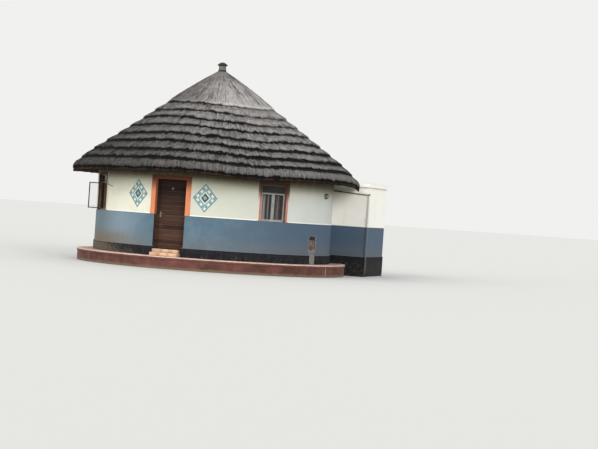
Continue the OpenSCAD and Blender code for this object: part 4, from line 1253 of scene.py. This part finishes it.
def curtain_pieces(material):
    """Gathered curtains, a pair to a window, that hang from the rods in loose folds."""
    width, top, bottom = 0.389, 2.645, 1.482
    middle_y, hem, folds = -3.3056, 0.006, 5
    columns, rows = 96, 26
    share = np.linspace(0, 1, columns)
    drop = np.linspace(0, 1, rows)[:, None]
    index = np.arange(rows * columns).reshape(rows, columns)
    quads = np.stack([index[:-1, :-1], index[1:, :-1], index[1:, 1:], index[:-1, 1:]], -1).reshape(-1, 4)
    for side, azimuth in (("left", WINDOW_AZS[0]), ("right", WINDOW_AZS[1])):
        for hand, x0 in (("a", -0.397), ("b", 0.008)):
            name = f"curtain_{side}_{hand}"
            source = random_source(name)
            phase = np.cumsum(0.6 + source.uniform(0, 0.8, columns))
            phase = phase / phase[-1] * folds * TURN + source.uniform(0, 6)
            size = 0.014 + 0.006 * np.interp(share, np.linspace(0, 1, 7), source.uniform(-1, 1, 7))
            sway = 0.5 * np.sin(2 * drop + source.uniform(0, 6))
            depth = size * (0.75 + 0.45 * drop) * np.sin(phase + sway)
            lean = 0.004 * np.sin(phase * 2 + 3 * drop)
            x = x0 + hem + share * (width - 2 * hem) + lean
            z = top + (bottom - top) * drop + 0 * share
            grid = np.stack([x, middle_y + depth, z], axis=-1)
            shape = turned((grid.reshape(-1, 3), [quads]), azimuth)
            piece = add_piece(name, shape, material, "curtain_cloth", f"curtain_{side}", smooth=True)
            thicken = piece.modifiers.new("thickness", "SOLIDIFY")
            thicken.thickness = 0.0015
            thicken.offset = 0


def dress_nodes():
    """Materials of the CAD nodes that stay in view."""
    for material, names in (
            (cream_wall("wall_cream"), "wall_left wall_right wall_back ring_beam"),
            (cream_wall("wall_cream_left", (-17.4, 2.095)), "wall_front_left"),
            (cream_wall("wall_cream_right", (16.3, 2.08)), "wall_front_right"),
            (annex_plaster(), "annex_upper_walls annex_roof"),
            (blue_wall(), "lower_wall_left lower_wall_right annex_lower_walls"),
            (black_plinth("plinth_black"), "plinth annex_base"),
            (door_band(), "door_surround"),
            (window_band(), "window_surrounds"),
            (floor_cement(), "floor_base annex_floor"),
            (apron_face(), "apron_base"),
            (apron_top(), "apron_slab"),
            (door_boards(), "door_leaf door_frame"),
            (window_steel(), "window_right window_back"),
            (painted_steel("annex_window", "#A6A8A4", "#8B8D89"), "window_annex"),
            (left_window_steel(), "window_left"),
            (worn_metal("hinge_steel", "#8C8984", "#5E5A55", 0.45), "door_hinges hinge_leaves"),
            (worn_metal("handle_metal", "#8A7F74", "#57504A", 0.40), "door_handle"),
            (window_glass(), "window_glass"),
            (painted_steel("rod_metal", "#B5B0A6", "#8F897F"), "curtain_rods"),
            (pole_wood(), "wall_plate rafters roof_laths roof_hub"),
            (pipe_paint(), "annex_pipes")):
        for name in names.split():
            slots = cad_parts[name].data.materials
            slots.clear()
            slots.append(material)


def main():
    bpy.context.scene.view_settings.view_transform = "Standard"
    make_camera()
    make_world("#F1F1EF", "#F4F6FA", 0.90)
    make_sun("sun_left", -30, 28, 1.9, 50)
    make_sun("sun_right", 47, 16, 1.85, 32)
    make_floor(400, "#CECDC9", "#6F7466")
    dress_nodes()
    make_courses(thatch("thatch", "#4B4846", "#85817F", "#B5B0AD", -4.5, 4.0, 0.34, 0.014))
    make_cap(thatch("thatch_cap_paint", "#7C7877", "#989491", "#B4AFAC", -1.5, 0.7, 0.32, 0.008))
    make_finial(grey_mortar("finial_pale", "#6F6E6A", "#575652"),
                grey_mortar("finial_dark", "#2B2926", "#191816"))
    plinth_tiles(black_plinth("plinth_tile"))
    patch_pieces(brick(), grey_mortar("patch_dark", "#1D1B20", "#121116"), broken_plaster(), mortar())
    step_pieces(step_tiles(), grey_mortar("step_grout", "#B39A82", "#8C7562"))
    lamp_pieces(painted_steel("lamp_rim", "#3A382F", "#26251F"), lamp_glass())
    casement_bars(painted_steel("bead_paint", "#9DA19D", "#868A87"))
    window_stay(painted_steel("stay_paint", "#5A4E45", "#3E352E"))
    curtain_pieces(curtain_cloth())


main()
